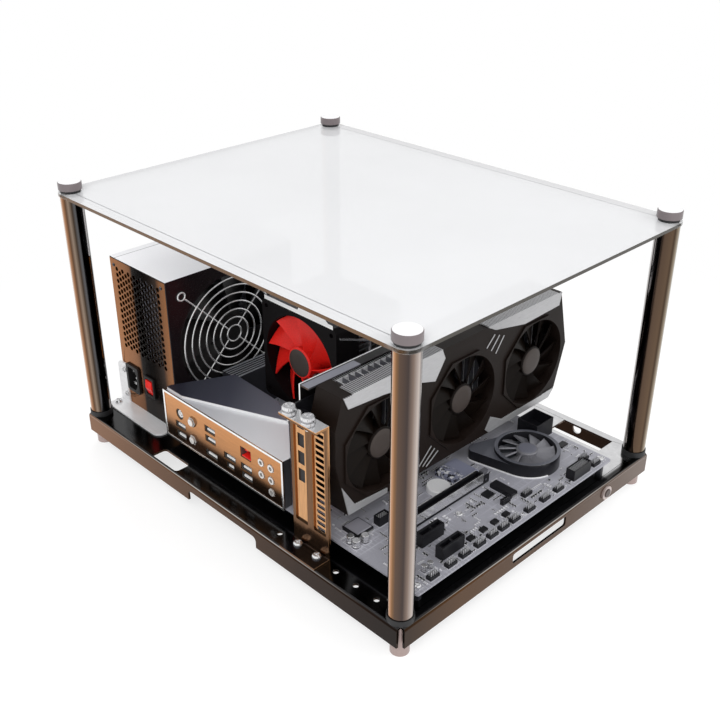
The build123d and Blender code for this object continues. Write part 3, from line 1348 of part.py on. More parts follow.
# Silver panels on the face and top of the shroud, and slanted bars between the fans
panels_uv = [
    [(0.043, 0.9), (0.17, 0.875), (0.31, 0.82), (0.373, 0.765), (0.412, 0.925), (0.4, 1), (0.027, 1)],
    [(0.596, 1), (0.63, 0.95), (0.77, 0.87), (0.94, 0.885), (0.95, 1)],
    [(0.018, 0.28), (0.042, 0.005), (0.19, 0.005), (0.19, 0.05), (0.065, 0.075)],
    [(0.635, 0.15), (0.612, 0.05), (0.63, 0.005), (0.93, 0.005), (0.955, 0.078), (0.69, 0.065)],
]
bars_uv = [[(0.63 + 0.022 * k, 0.91 - 0.025 * k), (0.595 + 0.022 * k, 0.82 - 0.045 * k)] for k in range(3)]
bars_uv += [[(0.37 + 0.015 * k, 0.195 - 0.04 * k), (0.32 + 0.015 * k, 0.065 - 0.02 * k)] for k in range(3)]
with BuildPart() as gpu_trim:
    with BuildSketch(gpu_face):
        for panel in panels_uv:
            with BuildLine():
                Polyline(*on_card(panel), close=True)
            make_face()
    extrude(amount=TRIM_T)
    for u0, u1 in ((0.06, 0.4), (0.596, 0.93)):
        lid_x0 = gpu_x0 + u0 * gpu_l
        lid_x1 = gpu_x0 + u1 * gpu_l
        block(lid_x0, lid_x1, gpu_front - TRIM_T, gpu_front + TOP_LID, gpu_z1, gpu_z1 + TRIM_T)
    with BuildSketch(gpu_face):
        for bar in bars_uv:
            (x0, z0), (x1, z1) = on_card(bar)
            with Locations(((x0 + x1) / 2, (z0 + z1) / 2)):
                slant = math.degrees(math.atan2(z1 - z0, x1 - x0))
                Rectangle(math.hypot(x1 - x0, z1 - z0), 1.3, rotation=slant)
    extrude(amount=0.5 * TRIM_T)
keep(gpu_trim.part, "gpu_trim")

gpu_rotor = fan_rotor(GPU_HUB_R, GPU_FAN_R - 1.2, -1.2, fan_back - RING_D, -RING_D, 11, 30.0)
for k, (x, z) in enumerate(fan_xz):
    keep(upright(x, gpu_front, z, (0, -1, 0)) * gpu_rotor, f"gpu_fan_{k + 1}")

# End bracket of the card: two slots wide, sockets on one side and vents on the other
holder_face = upright(holder_x, 0, 0, (-1, 0, 0))
bracket_z0 = top + 4.0
vent_z = [flange_z - 11.0 - VENT_STEP * k for k in range(VENTS)]
with BuildPart() as gpu_bracket:
    with BuildSketch(holder_face):
        with Locations((-holder_mid_y, (bracket_z0 + flange_z) / 2)):
            Rectangle(holder_y1 - holder_y0, flange_z - bracket_z0)
        with Locations(*[(-(gpu_pcb_front - 6.0), z) for z in socket_z]):
            Rectangle(7.0, 11.0, mode=Mode.SUBTRACT)
        with Locations(*[(-(gpu_y - SLOT_PITCH - 6.8), z) for z in vent_z]):
            Rectangle(VENT_L, 0.6 * VENT_STEP, mode=Mode.SUBTRACT)
    extrude(amount=-CARD_BRACKET_T)
    with BuildSketch(Plane.XY.offset(flange_z)):
        with Locations((holder_x + (CARD_BRACKET_T - FLANGE_L) / 2, holder_mid_y)):
            Rectangle(FLANGE_L + CARD_BRACKET_T, holder_y1 - holder_y0)
        with Locations(*[(thumb_x, y) for y in thumb_y]):
            Circle(SCREW_D / 2 + FIT, mode=Mode.SUBTRACT)
    extrude(amount=CARD_BRACKET_T)
keep(gpu_bracket.part, "gpu_bracket")

# Upright on the tray: foot, wall with two windows, and a top ledge under the card's bracket
window_w = SLOT_PITCH - 7.0
with BuildPart() as card_holder:
    with BuildSketch(upright(0, holder_y0, 0, (0, -1, 0))):
        with BuildLine():
            Polyline(
                (holder_x, z_floor),
                (tray_x0 + 0.5, z_floor),
                (tray_x0 + 0.5, z_floor + HOLDER_T),
                (holder_x - HOLDER_T, z_floor + HOLDER_T),
                (holder_x - HOLDER_T, flange_z - HOLDER_T),
                (holder_x - FLANGE_L, flange_z - HOLDER_T),
                (holder_x - FLANGE_L, flange_z),
                (holder_x, flange_z),
                close=True,
            )
        make_face()
    extrude(amount=holder_y0 - holder_y1)
    with BuildSketch(holder_face):
        with Locations((-holder_mid_y, (bracket_z0 + flange_z) / 2)):
            with GridLocations(SLOT_PITCH, 1, 2, 1):
                Rectangle(window_w, flange_z - bracket_z0 - 12.0)
    extrude(amount=2 * HOLDER_T, mode=Mode.SUBTRACT)
    with BuildSketch(Plane.XY.offset(flange_z)):
        with Locations(*[(thumb_x, y) for y in thumb_y]):
            Circle(SCREW_D / 2 + FIT)
    extrude(amount=-2 * HOLDER_T, mode=Mode.SUBTRACT)
    with BuildSketch(Plane.XY.offset(z_floor)):
        with Locations(*holder_screw_xy):
            Circle(SCREW_D / 2 + FIT)
    extrude(amount=2 * HOLDER_T, mode=Mode.SUBTRACT)
keep(card_holder.part, "card_holder")

# Thumbscrews: waisted heads on the card bracket's flange
thumb_z = flange_z + CARD_BRACKET_T
with BuildPart() as thumbscrews:
    with BuildSketch(Plane.XZ):
        with BuildLine():
            Polyline(
                (0, thumb_z - 7.0),
                (SCREW_D / 2, thumb_z - 7.0),
                (SCREW_D / 2, thumb_z),
                (0.55 * THUMB_D, thumb_z),
                (0.55 * THUMB_D, thumb_z + 0.25 * THUMB_H),
                (0.38 * THUMB_D, thumb_z + 0.3 * THUMB_H),
                (0.38 * THUMB_D, thumb_z + 0.5 * THUMB_H),
                (0.5 * THUMB_D, thumb_z + 0.55 * THUMB_H),
                (0.5 * THUMB_D, thumb_z + THUMB_H),
                (0, thumb_z + THUMB_H),
                close=True,
            )
        make_face()
    revolve(axis=Axis.Z)
thumb_pair = Compound([Pos(thumb_x, y, 0) * thumbscrews.part for y in thumb_y])
keep(thumb_pair, "thumbscrews")

# Pan screws in the feet of the upright and the power supply's angle
with BuildPart() as bench_screws:
    for xy, seat, grip in (
        (holder_screw_xy[0], z_floor + HOLDER_T, HOLDER_T),
        (holder_screw_xy[1], z_floor + HOLDER_T, HOLDER_T),
        (psu_screw_xy, z_floor + BRACKET_T, BRACKET_T),
    ):
        with BuildSketch(Plane.XY.offset(seat)):
            with Locations(xy):
                Circle(SCREW_HEAD_D / 2)
        extrude(amount=SCREW_HEAD_H)
        with BuildSketch(Plane.XY.offset(seat)):
            with Locations(xy):
                Circle(SCREW_D / 2)
        extrude(amount=-(grip + SHEET + 2.0))
    for y, z in flange_screw_yz:
        with BuildSketch(upright(psu_x0 - BRACKET_T, y, z, (-1, 0, 0))):
            Circle(0.42 * SCREW_HEAD_D)
        extrude(amount=0.7 * SCREW_HEAD_H)
        with BuildSketch(upright(psu_x0 - BRACKET_T, y, z, (-1, 0, 0))):
            Circle(SCREW_D / 2)
        extrude(amount=-(BRACKET_T + PSU_SHEET + 1.5))
keep(bench_screws.part, "bench_screws")
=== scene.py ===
"""Looks of the open air test bench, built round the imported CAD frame."""
import json
import math
import random

import bmesh
import bpy
from mathutils import Matrix, Vector


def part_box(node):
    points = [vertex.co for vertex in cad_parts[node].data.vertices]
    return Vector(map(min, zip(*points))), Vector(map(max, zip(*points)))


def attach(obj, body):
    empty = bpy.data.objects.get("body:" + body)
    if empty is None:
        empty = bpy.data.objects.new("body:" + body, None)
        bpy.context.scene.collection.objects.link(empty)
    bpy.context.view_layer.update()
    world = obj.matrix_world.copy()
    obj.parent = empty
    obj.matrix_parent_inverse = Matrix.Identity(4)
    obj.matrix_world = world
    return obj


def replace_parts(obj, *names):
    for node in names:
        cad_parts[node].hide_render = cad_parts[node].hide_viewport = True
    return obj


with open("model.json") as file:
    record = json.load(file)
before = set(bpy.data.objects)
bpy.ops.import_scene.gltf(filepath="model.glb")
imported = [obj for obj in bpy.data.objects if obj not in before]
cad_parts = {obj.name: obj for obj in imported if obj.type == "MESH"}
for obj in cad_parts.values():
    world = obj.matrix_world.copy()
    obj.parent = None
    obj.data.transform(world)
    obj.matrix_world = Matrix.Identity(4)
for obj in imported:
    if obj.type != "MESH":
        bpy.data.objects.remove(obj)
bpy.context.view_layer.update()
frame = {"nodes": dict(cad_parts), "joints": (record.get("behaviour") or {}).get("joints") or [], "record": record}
nodes = frame["nodes"]
scene = bpy.context.scene
joint_at = {j["child"]: Vector(j["pos_m"]) for j in frame["joints"] if "pos_m" in j}
MM = 0.001
BODY = "bench"

# Axes of the row frame; ACROSS runs level from left to right in the photograph
UP = (0, 0, 1)
X_AXIS = (1, 0, 0)
Y_AXIS = (0, 1, 0)
PORT_SIDE = (-1, 0, 0)
BUTTON_SIDE = (0, -1, 0)
ACROSS = (0.714, -0.700, 0)

# Colours that several materials share
COPPER = (0.60, 0.27, 0.10)
# Dark of painted shade in the gaps between fins
NEAR_BLACK = (0.012, 0.011, 0.011)
FIN_GAP_SHADE = (0.03, 0.03, 0.034)
SHEET_BLACK = (0.02, 0.02, 0.022)
# The near-white of painted highlights on edges and lit faces
PAINTED_HIGHLIGHT = (0.92, 0.92, 0.92)
STORAGE_GREY = (0.30, 0.315, 0.42)
BACK_GREY = (0.10, 0.10, 0.11)


# Shader sockets
def location(tree):
    """Socket with each point's place in metres."""
    return tree.nodes.new("ShaderNodeTexCoord").outputs["Object"]


def facing(tree):
    """Socket with each point's normal."""
    return tree.nodes.new("ShaderNodeNewGeometry").outputs["Normal"]


def vector_math(tree, operation, vector, other=(0, 0, 0)):
    """Node that works on a vector socket and a fixed vector."""
    node = tree.nodes.new("ShaderNodeVectorMath")
    node.operation = operation
    node.inputs[1].default_value = other
    tree.links.new(vector, node.inputs[0])
    return node


def dot_with(tree, vector, axis):
    """Socket with how far a vector socket reaches along an axis."""
    return vector_math(tree, "DOT_PRODUCT", vector, axis).outputs["Value"]


def unsigned(tree, vector):
    """Socket with a vector's measures without their signs."""
    return vector_math(tree, "ABSOLUTE", vector).outputs["Vector"]


def number_math(tree, operation, first, second=0.0):
    """Socket that works on a socket and a second socket or number."""
    node = tree.nodes.new("ShaderNodeMath")
    node.operation = operation
    tree.links.new(first, node.inputs[0])
    if isinstance(second, float):
        node.inputs[1].default_value = second
    else:
        tree.links.new(second, node.inputs[1])
    return node.outputs["Value"]


def spread(tree, value, low, high, to_low=0.0, to_high=1.0):
    """Socket that goes from to_low to to_high as a value goes from low to high."""
    span = tree.nodes.new("ShaderNodeMapRange")
    span.inputs["From Min"].default_value = low
    span.inputs["From Max"].default_value = high
    span.inputs["To Min"].default_value = to_low
    span.inputs["To Max"].default_value = to_high
    tree.links.new(value, span.inputs["Value"])
    return span.outputs["Result"]


def noise_of(tree, place, scale, detail=2.0):
    """Socket with a noise over a place socket."""
    noise = tree.nodes.new("ShaderNodeTexNoise")
    noise.inputs["Scale"].default_value = scale
    noise.inputs["Detail"].default_value = detail
    tree.links.new(place, noise.inputs["Vector"])
    return noise.outputs["Fac"]


def ramp_of(mat, factor, stops):
    """Colour socket of a ramp; stops are (share, colour)."""
    ramp = mat.node_tree.nodes.new("ShaderNodeValToRGB")
    for i, (share, color) in enumerate(stops):
        knot = ramp.color_ramp.elements[i] if i < 2 else ramp.color_ramp.elements.new(share)
        knot.position = share
        knot.color = (*color, 1)
    mat.node_tree.links.new(factor, ramp.inputs["Fac"])
    return ramp.outputs["Color"]


def reach(mat, source, axis, low, high):
    """Socket that goes from 0 to 1 as location or facing goes along an axis from low to high."""
    tree = mat.node_tree
    return spread(tree, dot_with(tree, source(tree), axis), low, high)


# Materials and what is painted on them
GRAIN_DETAIL = 4.0
GRAIN_DEPTH = 0.2 * MM
TINT_FROM = 0.3
TINT_TO = 0.7
SMOOTHEST = 0.8
ROUGHEST = 1.25
SIDE_FROM = 0.5
SIDE_TO = 0.8
LEVEL_FROM = 0.7
LEVEL_TO = 0.9
BLOT_DETAIL = 3.0
TRACE_RATIO = 1.7
TRACE_LENGTH = 2.6
TRACE_ROW = 0.35
PATCH_SCALE = 26.0
PATCH_FROM = 0.48
PATCH_TO = 0.58


def material(
    name, color, rough, metallic=0.0, grain=0.0, grain_scale=600.0, stretch=(1, 1, 1), tint=0.12, spec=0.5
):
    """Principled material whose colour, roughness and relief vary with a fine noise in the row frame."""
    mat = bpy.data.materials.new(name)
    mat.use_nodes = True
    tree = mat.node_tree
    shader = tree.nodes["Principled BSDF"]
    shader.inputs["Metallic"].default_value = metallic
    shader.inputs["Specular IOR Level"].default_value = spec
    scale = tree.nodes.new("ShaderNodeMapping")
    scale.inputs["Scale"].default_value = stretch
    tree.links.new(location(tree), scale.inputs["Vector"])
    noise = noise_of(tree, scale.outputs["Vector"], grain_scale, GRAIN_DETAIL)
    darker = [c * (1 - tint) for c in color]
    paler = [min(1.0, c * (1 + tint)) for c in color]
    tree.links.new(ramp_of(mat, noise, ((TINT_FROM, darker), (TINT_TO, paler))), shader.inputs["Base Color"])
    gloss = spread(tree, noise, 0.0, 1.0, SMOOTHEST * rough, min(1.0, ROUGHEST * rough))
    tree.links.new(gloss, shader.inputs["Roughness"])
    if grain:
        bump = tree.nodes.new("ShaderNodeBump")
        bump.inputs["Strength"].default_value = grain
        bump.inputs["Distance"].default_value = GRAIN_DEPTH
        tree.links.new(noise, bump.inputs["Height"])
        tree.links.new(bump.outputs["Normal"], shader.inputs["Normal"])
    return mat


def paint(mat, factor, color, blend="MIX"):
    """Mix a colour, or a colour socket, over the base colour by a factor socket."""
    tree = mat.node_tree
    base = tree.nodes["Principled BSDF"].inputs["Base Color"]
    under = base.links[0].from_socket
    mix = tree.nodes.new("ShaderNodeMix")
    mix.data_type = "RGBA"
    mix.blend_type = blend
    if factor is None:
        mix.inputs["Factor"].default_value = 1.0
    else:
        tree.links.new(factor, mix.inputs["Factor"])
    tree.links.new(under, mix.inputs["A"])
    if isinstance(color, tuple):
        mix.inputs["B"].default_value = (*color, 1)
    else:
        tree.links.new(color, mix.inputs["B"])
    tree.links.new(mix.outputs["Result"], base)


def by_side(mat, axis, color, low=SIDE_FROM, high=SIDE_TO):
    """Give faces that look along an axis another colour."""
    paint(mat, reach(mat, facing, axis, low, high), color)


def by_place(mat, axis, low, high, color):
    """Give what lies further along an axis than low to high, in metres, another colour."""
    paint(mat, reach(mat, location, axis, low, high), color)


def along(mat, axis, stops):
    """Multiply the base colour by a ramp along an axis of the row frame; stops are (metres, grey)."""
    first, last = stops[0][0], stops[-1][0]
    factor = reach(mat, location, axis, first, last)
    shares = [((at - first) / (last - first), (grey, grey, grey)) for at, grey in stops]
    paint(mat, None, ramp_of(mat, factor, shares), "MULTIPLY")


def traces(mat, color, scale, width, seed):
    """Fine lines of a circuit board: two brick grids, kept only where a slow noise lets them show."""
    tree = mat.node_tree
    place = location(tree)
    for turn, size in ((0.0, scale), (math.pi / 2, TRACE_RATIO * scale)):
        spin = tree.nodes.new("ShaderNodeMapping")
        spin.inputs["Rotation"].default_value = (0, 0, turn)
        spin.inputs["Location"].default_value = (seed, seed, 0)
        tree.links.new(place, spin.inputs["Vector"])
        grid = tree.nodes.new("ShaderNodeTexBrick")
        grid.inputs["Scale"].default_value = size
        grid.inputs["Mortar Size"].default_value = width
        grid.inputs["Brick Width"].default_value = TRACE_LENGTH
        grid.inputs["Row Height"].default_value = TRACE_ROW
        tree.links.new(spin.outputs["Vector"], grid.inputs["Vector"])
        patches = spread(tree, noise_of(tree, spin.outputs["Vector"], PATCH_SCALE), PATCH_FROM, PATCH_TO)
        paint(mat, number_math(tree, "MULTIPLY", grid.outputs["Fac"], patches), color)


def see_through(mat, flat, corner, low, high):
    """Lower the alpha on level faces, and towards the corners as |X| + |Y| goes from low to high."""
    tree = mat.node_tree
    level = dot_with(tree, unsigned(tree, facing(tree)), UP)
    from_middle = dot_with(tree, unsigned(tree, location(tree)), (1, 1, 0))
    on_level = spread(tree, level, SIDE_FROM, SIDE_TO, 1.0, 1.0 - flat)
    at_corner = spread(tree, from_middle, low, high, 1.0, 1.0 - corner)
    alpha = number_math(tree, "MULTIPLY", on_level, at_corner)
    tree.links.new(alpha, tree.nodes["Principled BSDF"].inputs["Alpha"])


def reflection_blots(mat, scale, low, high, color):
    """Paint blots of a colour, as a painted reflection, where a noise lies above low to high."""
    tree = mat.node_tree
    blots = noise_of(tree, location(tree), scale, BLOT_DETAIL)
    paint(mat, spread(tree, blots, low, high), color)


def comb(mat, axis, pitch, share, color):
    """Paint level faces with even stripes across an axis; share is the painted part of each pitch."""
    tree = mat.node_tree
    count = reach(mat, location, axis, 0.0, pitch)
    count.node.clamp = False
    stripe = number_math(tree, "LESS_THAN", number_math(tree, "FRACT", count), share)
    level = reach(mat, facing, UP, LEVEL_FROM, LEVEL_TO)
    paint(mat, number_math(tree, "MULTIPLY", stripe, level), color)


# Tray: polished metal with painted reflections, dark up to the board's right side and bright beyond it, a dark
# band along the button's side, copper on the rims, and painted highlights along the folds
TRAY_PAINTED_REFLECTION = ((-0.160, 0.055), (0.092, 0.05), (0.104, 0.72), (0.135, 0.80), (0.160, 0.76))
FRONT_REFLECTION_BAND = (0.1955, 0.1985)
RIM_X = 0.16
RIM_Y = 0.2
SIDE_RIM_REFLECTION = (
    (0.00, (0.014, 0.009, 0.007)),
    (0.25, (0.028, 0.014, 0.008)),
    (0.60, (0.085, 0.036, 0.012)),
    (1.00, (0.19, 0.075, 0.022)),
)
FRONT_RIM_REFLECTION = (
    (0.00, (0.03, 0.017, 0.010)),
    (0.20, (0.09, 0.042, 0.016)),
    (0.60, (0.085, 0.045, 0.025)),
    (1.00, (0.15, 0.11, 0.09)),
)
FOLD_HIGHLIGHTS = ((-0.7071, 0, 0.7071), (0, -0.7071, 0.7071))
FOLD_HIGHLIGHT_SPAN = (0.975, 0.995)
tray_mat = material(
    "tray_polished_black", (0.80, 0.80, 0.81), 0.14, 1.0, grain=0.03, grain_scale=180, tint=0.06
)
# Painted reflection: dark up to the board's right side, bright beyond it
along(tray_mat, X_AXIS, TRAY_PAINTED_REFLECTION)
# Painted reflection: a dark band along the button's side
by_place(tray_mat, BUTTON_SIDE, *FRONT_REFLECTION_BAND, (0.035, 0.034, 0.034))
# Painted reflections on the rims: near black to copper along each rim, and brown on faces that look along +X and
# +Y
side_rim_reflection = ramp_of(tray_mat, reach(tray_mat, location, Y_AXIS, -RIM_Y, RIM_Y), SIDE_RIM_REFLECTION)
by_side(tray_mat, PORT_SIDE, side_rim_reflection)
front_rim_reflection = ramp_of(tray_mat, reach(tray_mat, location, X_AXIS, -RIM_X, RIM_X), FRONT_RIM_REFLECTION)
by_side(tray_mat, BUTTON_SIDE, front_rim_reflection)
by_side(tray_mat, X_AXIS, (0.135, 0.072, 0.036))
by_side(tray_mat, Y_AXIS, (0.105, 0.060, 0.034))
# Painted highlights along the folds of the rims
for fold in FOLD_HIGHLIGHTS:
    by_side(tray_mat, fold, (0.42, 0.40, 0.38), *FOLD_HIGHLIGHT_SPAN)

# Posts: chrome with painted reflections, as ramps that run round each post, from its left edge to its right one
POST_PARTING = (0.0, 0.01)
STREAK_FROM = 0.010
STREAK_TO = 0.026
STREAK_SOFT = 0.008
FRONT_POST_REFLECTION = (
    (0.00, (0.60, 0.46, 0.36)),
    (0.07, (0.54, 0.28, 0.15)),
    (0.15, (0.25, 0.13, 0.06)),
    (0.25, (0.12, 0.08, 0.06)),
    (0.54, (0.07, 0.054, 0.05)),
    (0.70, (0.23, 0.17, 0.14)),
    (0.89, (0.52, 0.45, 0.41)),
    (1.00, (0.11, 0.10, 0.10)),
)
RIGHT_POST_REFLECTION = (
    (0.00, (0.45, 0.42, 0.41)),
    (0.08, (0.02, 0.016, 0.016)),
    (0.18, (0.008, 0.006, 0.006)),
    (0.30, (0.10, 0.065, 0.045)),
    (0.60, (0.13, 0.085, 0.055)),
    (0.70, (0.07, 0.045, 0.03)),
    (0.85, (0.30, 0.24, 0.17)),
    (1.00, (0.35, 0.32, 0.27)),
)
LEFT_POST_REFLECTION = (
    (0.00, (0.70, 0.52, 0.40)),
    (0.16, (0.40, 0.19, 0.09)),
    (0.31, (0.11, 0.06, 0.035)),
    (0.44, (0.28, 0.21, 0.16)),
    (0.59, (0.05, 0.034, 0.023)),
    (0.70, (0.10, 0.10, 0.105)),
    (0.79, (0.003, 0.003, 0.004)),
    (1.00, (0.003, 0.003, 0.003)),
)


def streaked(stops, low_color, high_color):
    """Ramp stops with a narrow painted reflection streak near each end, which a view along ACROSS sees face on."""
    first, last = stops[0][1], stops[-1][1]
    steps = (
        (STREAK_FROM - STREAK_SOFT, False),
        (STREAK_FROM, True),
        (STREAK_TO, True),
        (STREAK_TO + STREAK_SOFT, False),
    )
    start = [(share, low_color if inside else first) for share, inside in steps]
    end = [(1 - share, high_color if inside else last) for share, inside in reversed(steps)]
    return [stops[0]] + start + list(stops[1:-1]) + end + [stops[-1]]


front_reflection_stops = streaked(FRONT_POST_REFLECTION, (0.05, 0.035, 0.03), (0.60, 0.56, 0.54))
right_reflection_stops = streaked(RIGHT_POST_REFLECTION, (0.03, 0.025, 0.025), (0.04, 0.03, 0.025))
left_reflection_stops = streaked(LEFT_POST_REFLECTION, (0.06, 0.04, 0.03), (0.45, 0.43, 0.42))
post_mat = material(
    "post_chrome", (0.74, 0.72, 0.71), 0.10, 1.0, grain_scale=900, stretch=(1, 1, 0.01), tint=0.1
)
round_post = reach(post_mat, facing, ACROSS, -1.0, 1.0)
paint(post_mat, None, ramp_of(post_mat, round_post, front_reflection_stops))
by_place(post_mat, X_AXIS, *POST_PARTING, ramp_of(post_mat, round_post, right_reflection_stops))
by_place(post_mat, Y_AXIS, *POST_PARTING, ramp_of(post_mat, round_post, left_reflection_stops))

# Caps, feet, collars, clear plate and power button
CAP_SHADE_SPAN = (0.3, 0.5)
PLATE_CLEAR = 0.20
CORNER_CLEAR = 0.45
CORNER_SPAN = (0.342, 0.350)
cap_mat = material("cap_satin", (0.93, 0.93, 0.94), 0.30, 0.4, grain=0.08, grain_scale=2200, tint=0.03)
# The caps' sides darker than their tops: painted shade
for side in (PORT_SIDE, BUTTON_SIDE, X_AXIS, Y_AXIS):
    by_side(cap_mat, side, (0.20, 0.17, 0.175), *CAP_SHADE_SPAN)
foot_mat = material("foot_satin", (0.40, 0.31, 0.29), 0.35, 0.6, grain=0.08, grain_scale=1800, tint=0.05)
rubber_mat = material("rubber_black", (0.012, 0.012, 0.013), 0.6, grain=0.2, grain_scale=2500, tint=0.2)
plate_mat = material("plate_acrylic", (0.84, 0.845, 0.86), 0.05, grain_scale=9, tint=0.02)
# The plate's edges copper on the port side and dark on the button's side: painted reflections
by_side(plate_mat, PORT_SIDE, (0.125, 0.058, 0.016))
by_side(plate_mat, BUTTON_SIDE, (0.042, 0.036, 0.028))
see_through(plate_mat, PLATE_CLEAR, CORNER_CLEAR, *CORNER_SPAN)
bezel_mat = material("button_bezel", (0.55, 0.47, 0.45), 0.30, 0.7, grain=0.05, grain_scale=1500, tint=0.06)
press_mat = material("button_cap", (0.08, 0.06, 0.055), 0.34, 0.4, grain=0.05, grain_scale=1500, tint=0.06)

# Board and the small things on it
BOARD_DIAGONAL = (0.8, -0.6, 0)
BOARD_SHADE = ((-0.14, 1.0), (0.00, 0.85), (0.10, 1.0), (0.20, 1.0))
TRACE_SCALE = 55
TRACE_WIDTH = 0.035
TRACE_SEED = 0.37
RING_HIGHLIGHT = (-0.35, -0.61, 0.71)
RING_HIGHLIGHT_SPAN = (0.93, 0.98)
STORAGE_PLAIN = (-0.008, -0.002)
DARK_REFLECTION_BLOTS = (330.0, 0.52, 0.54)
PALE_REFLECTION_BLOTS = (290.0, 0.56, 0.58)
board_mat = material("board_grey", (0.36, 0.36, 0.405), 0.40, grain=0.2, grain_scale=1500, tint=0.08)
# Darker across the middle of the board: painted shade
along(board_mat, BOARD_DIAGONAL, BOARD_SHADE)
traces(board_mat, (0.42, 0.42, 0.47), TRACE_SCALE, TRACE_WIDTH, TRACE_SEED)
chip_cover_mat = material(
    "chip_cover", (0.20, 0.205, 0.25), 0.34, 0.3, grain=0.12, grain_scale=1600, tint=0.08
)
storage_mat = material("storage_cover", STORAGE_GREY, 0.34, 0.3, grain=0.12, grain_scale=1600, tint=0.08)
# Painted reflection: dark and pale blots on the storage cover, kept to the port side of STORAGE_PLAIN
reflection_blots(storage_mat, *DARK_REFLECTION_BLOTS, (0.02, 0.02, 0.025))
reflection_blots(storage_mat, *PALE_REFLECTION_BLOTS, (0.85, 0.85, 0.87))
by_place(storage_mat, X_AXIS, *STORAGE_PLAIN, STORAGE_GREY)
battery_mat = material(
    "battery_bright", (0.86, 0.86, 0.87), 0.34, 0.2, grain=0.06, grain_scale=1600, tint=0.05
)
ring_mat = material("chip_ring", (0.010, 0.010, 0.013), 0.30, 0.3, grain=0.1, grain_scale=1600, tint=0.1)
# Painted light: the ring's top faces lighter, and a bright line on the edge that faces up and towards the button's
# side
by_side(ring_mat, UP, (0.135, 0.14, 0.165))
by_side(ring_mat, RING_HIGHLIGHT, PAINTED_HIGHLIGHT, *RING_HIGHLIGHT_SPAN)
rotor_mat = material("small_rotor", (0.20, 0.20, 0.22), 0.36, 0.2, grain=0.1, grain_scale=1800, tint=0.1)
slot_mat = material(
    "slot_black", (0.007, 0.007, 0.009), 0.40, grain=0.15, grain_scale=2200, tint=0.2, spec=0.3
)
latch_mat = material("latch_grey", (0.11, 0.11, 0.125), 0.42, grain=0.12, grain_scale=2200, tint=0.1)
module_mat = material("module_white", (0.72, 0.73, 0.75), 0.34, 0.3, grain=0.1, grain_scale=1500, tint=0.05)
white_mat = material("socket_white", (0.74, 0.74, 0.74), 0.40, grain=0.1, grain_scale=2000, tint=0.04)
lid_mat = material("chip_lid", (0.30, 0.295, 0.335), 0.36, 0.3, grain=0.08, grain_scale=1800, tint=0.06)
pin_mat = material("pin_tin", (0.58, 0.58, 0.60), 0.32, 0.6, grain_scale=2500, tint=0.08)
mark_mat = material("board_print", (0.70, 0.70, 0.74), 0.5, grain_scale=2500, tint=0.08)
resistor_mat = material("resistor_black", (0.018, 0.018, 0.020), 0.45, grain_scale=2500, tint=0.2)
tin_mat = material("tinned_end", (0.80, 0.80, 0.81), 0.28, 0.8, grain_scale=2500, tint=0.08)
dark_mat = material(
    "dark_anodised", (0.045, 0.046, 0.055), 0.34, 0.5, grain=0.12, grain_scale=1800, tint=0.15
)
# Top faces lighter: painted highlight
by_side(dark_mat, UP, (0.40, 0.41, 0.44))

# Port panel, its cover and what stands in it
SHIELD_SHADE = ((0.040, 0.10), (0.052, 0.16), (0.064, 0.80), (0.088, 1.0))
SHIELD_RIM_HIGHLIGHT = (0.1362, 0.1363)
COVER_SPAN = (-0.160, -0.055)
COVER_FOLD = (0.0870, 0.0880)
COVER_HIGHLIGHT_FACING = (-0.93, -0.37, 0)
COVER_HIGHLIGHT_SPAN = (0.85, 0.95)
COVER_LOW = ((0, (0.45, 0.46, 0.50)), (0.5, (0.75, 0.76, 0.79)), (1, (0.90, 0.90, 0.92)))
COVER_HIGH = ((0, (0.022, 0.023, 0.036)), (0.45, (0.06, 0.063, 0.088)), (1, (0.22, 0.225, 0.27)))
shield_mat = material(
    "shield_copper", COPPER, 0.16, 1.0, grain=0.05, grain_scale=700, stretch=(1, 0.08, 1), tint=0.08
)
# Darker towards the bottom, a painted reflection, and bright on its outer part on the port side, a painted
# highlight
along(shield_mat, UP, SHIELD_SHADE)
by_place(shield_mat, PORT_SIDE, *SHIELD_RIM_HIGHLIGHT, PAINTED_HIGHLIGHT)
cover_mat = material(
    "port_cover_grey", (0.46, 0.47, 0.51), 0.36, 0.2, grain=0.10, grain_scale=1600, tint=0.04
)
# Two-tone facets, each lighter along ACROSS as painted light and shade; a bright edge as a painted highlight;
# faces on the button's side dark
sideways = reach(cover_mat, location, ACROSS, *COVER_SPAN)
by_side(cover_mat, UP, ramp_of(cover_mat, sideways, COVER_LOW))
by_place(cover_mat, UP, *COVER_FOLD, ramp_of(cover_mat, sideways, COVER_HIGH))
by_side(cover_mat, COVER_HIGHLIGHT_FACING, PAINTED_HIGHLIGHT, *COVER_HIGHLIGHT_SPAN)
by_side(cover_mat, BUTTON_SIDE, (0.05, 0.05, 0.055))
port_mat = material("port_metal", (0.16, 0.155, 0.15), 0.30, 0.6, grain=0.05, grain_scale=1200, tint=0.06)
stud_mat = material("stud_chrome", (0.80, 0.78, 0.76), 0.24, 0.7, grain=0.05, grain_scale=1200, tint=0.1)
nut_mat = material("nut_chrome", (0.42, 0.40, 0.39), 0.20, 1.0, grain=0.05, grain_scale=1200, tint=0.1)
steel_mat = material("screw_steel", (0.76, 0.76, 0.77), 0.22, 0.9, grain=0.05, grain_scale=1500, tint=0.06)

# Cooler and fans
lid_top_mat = material(
    "cooler_top", (0.012, 0.012, 0.015), 0.36, 0.3, grain=0.1, grain_scale=1600, tint=0.1
)
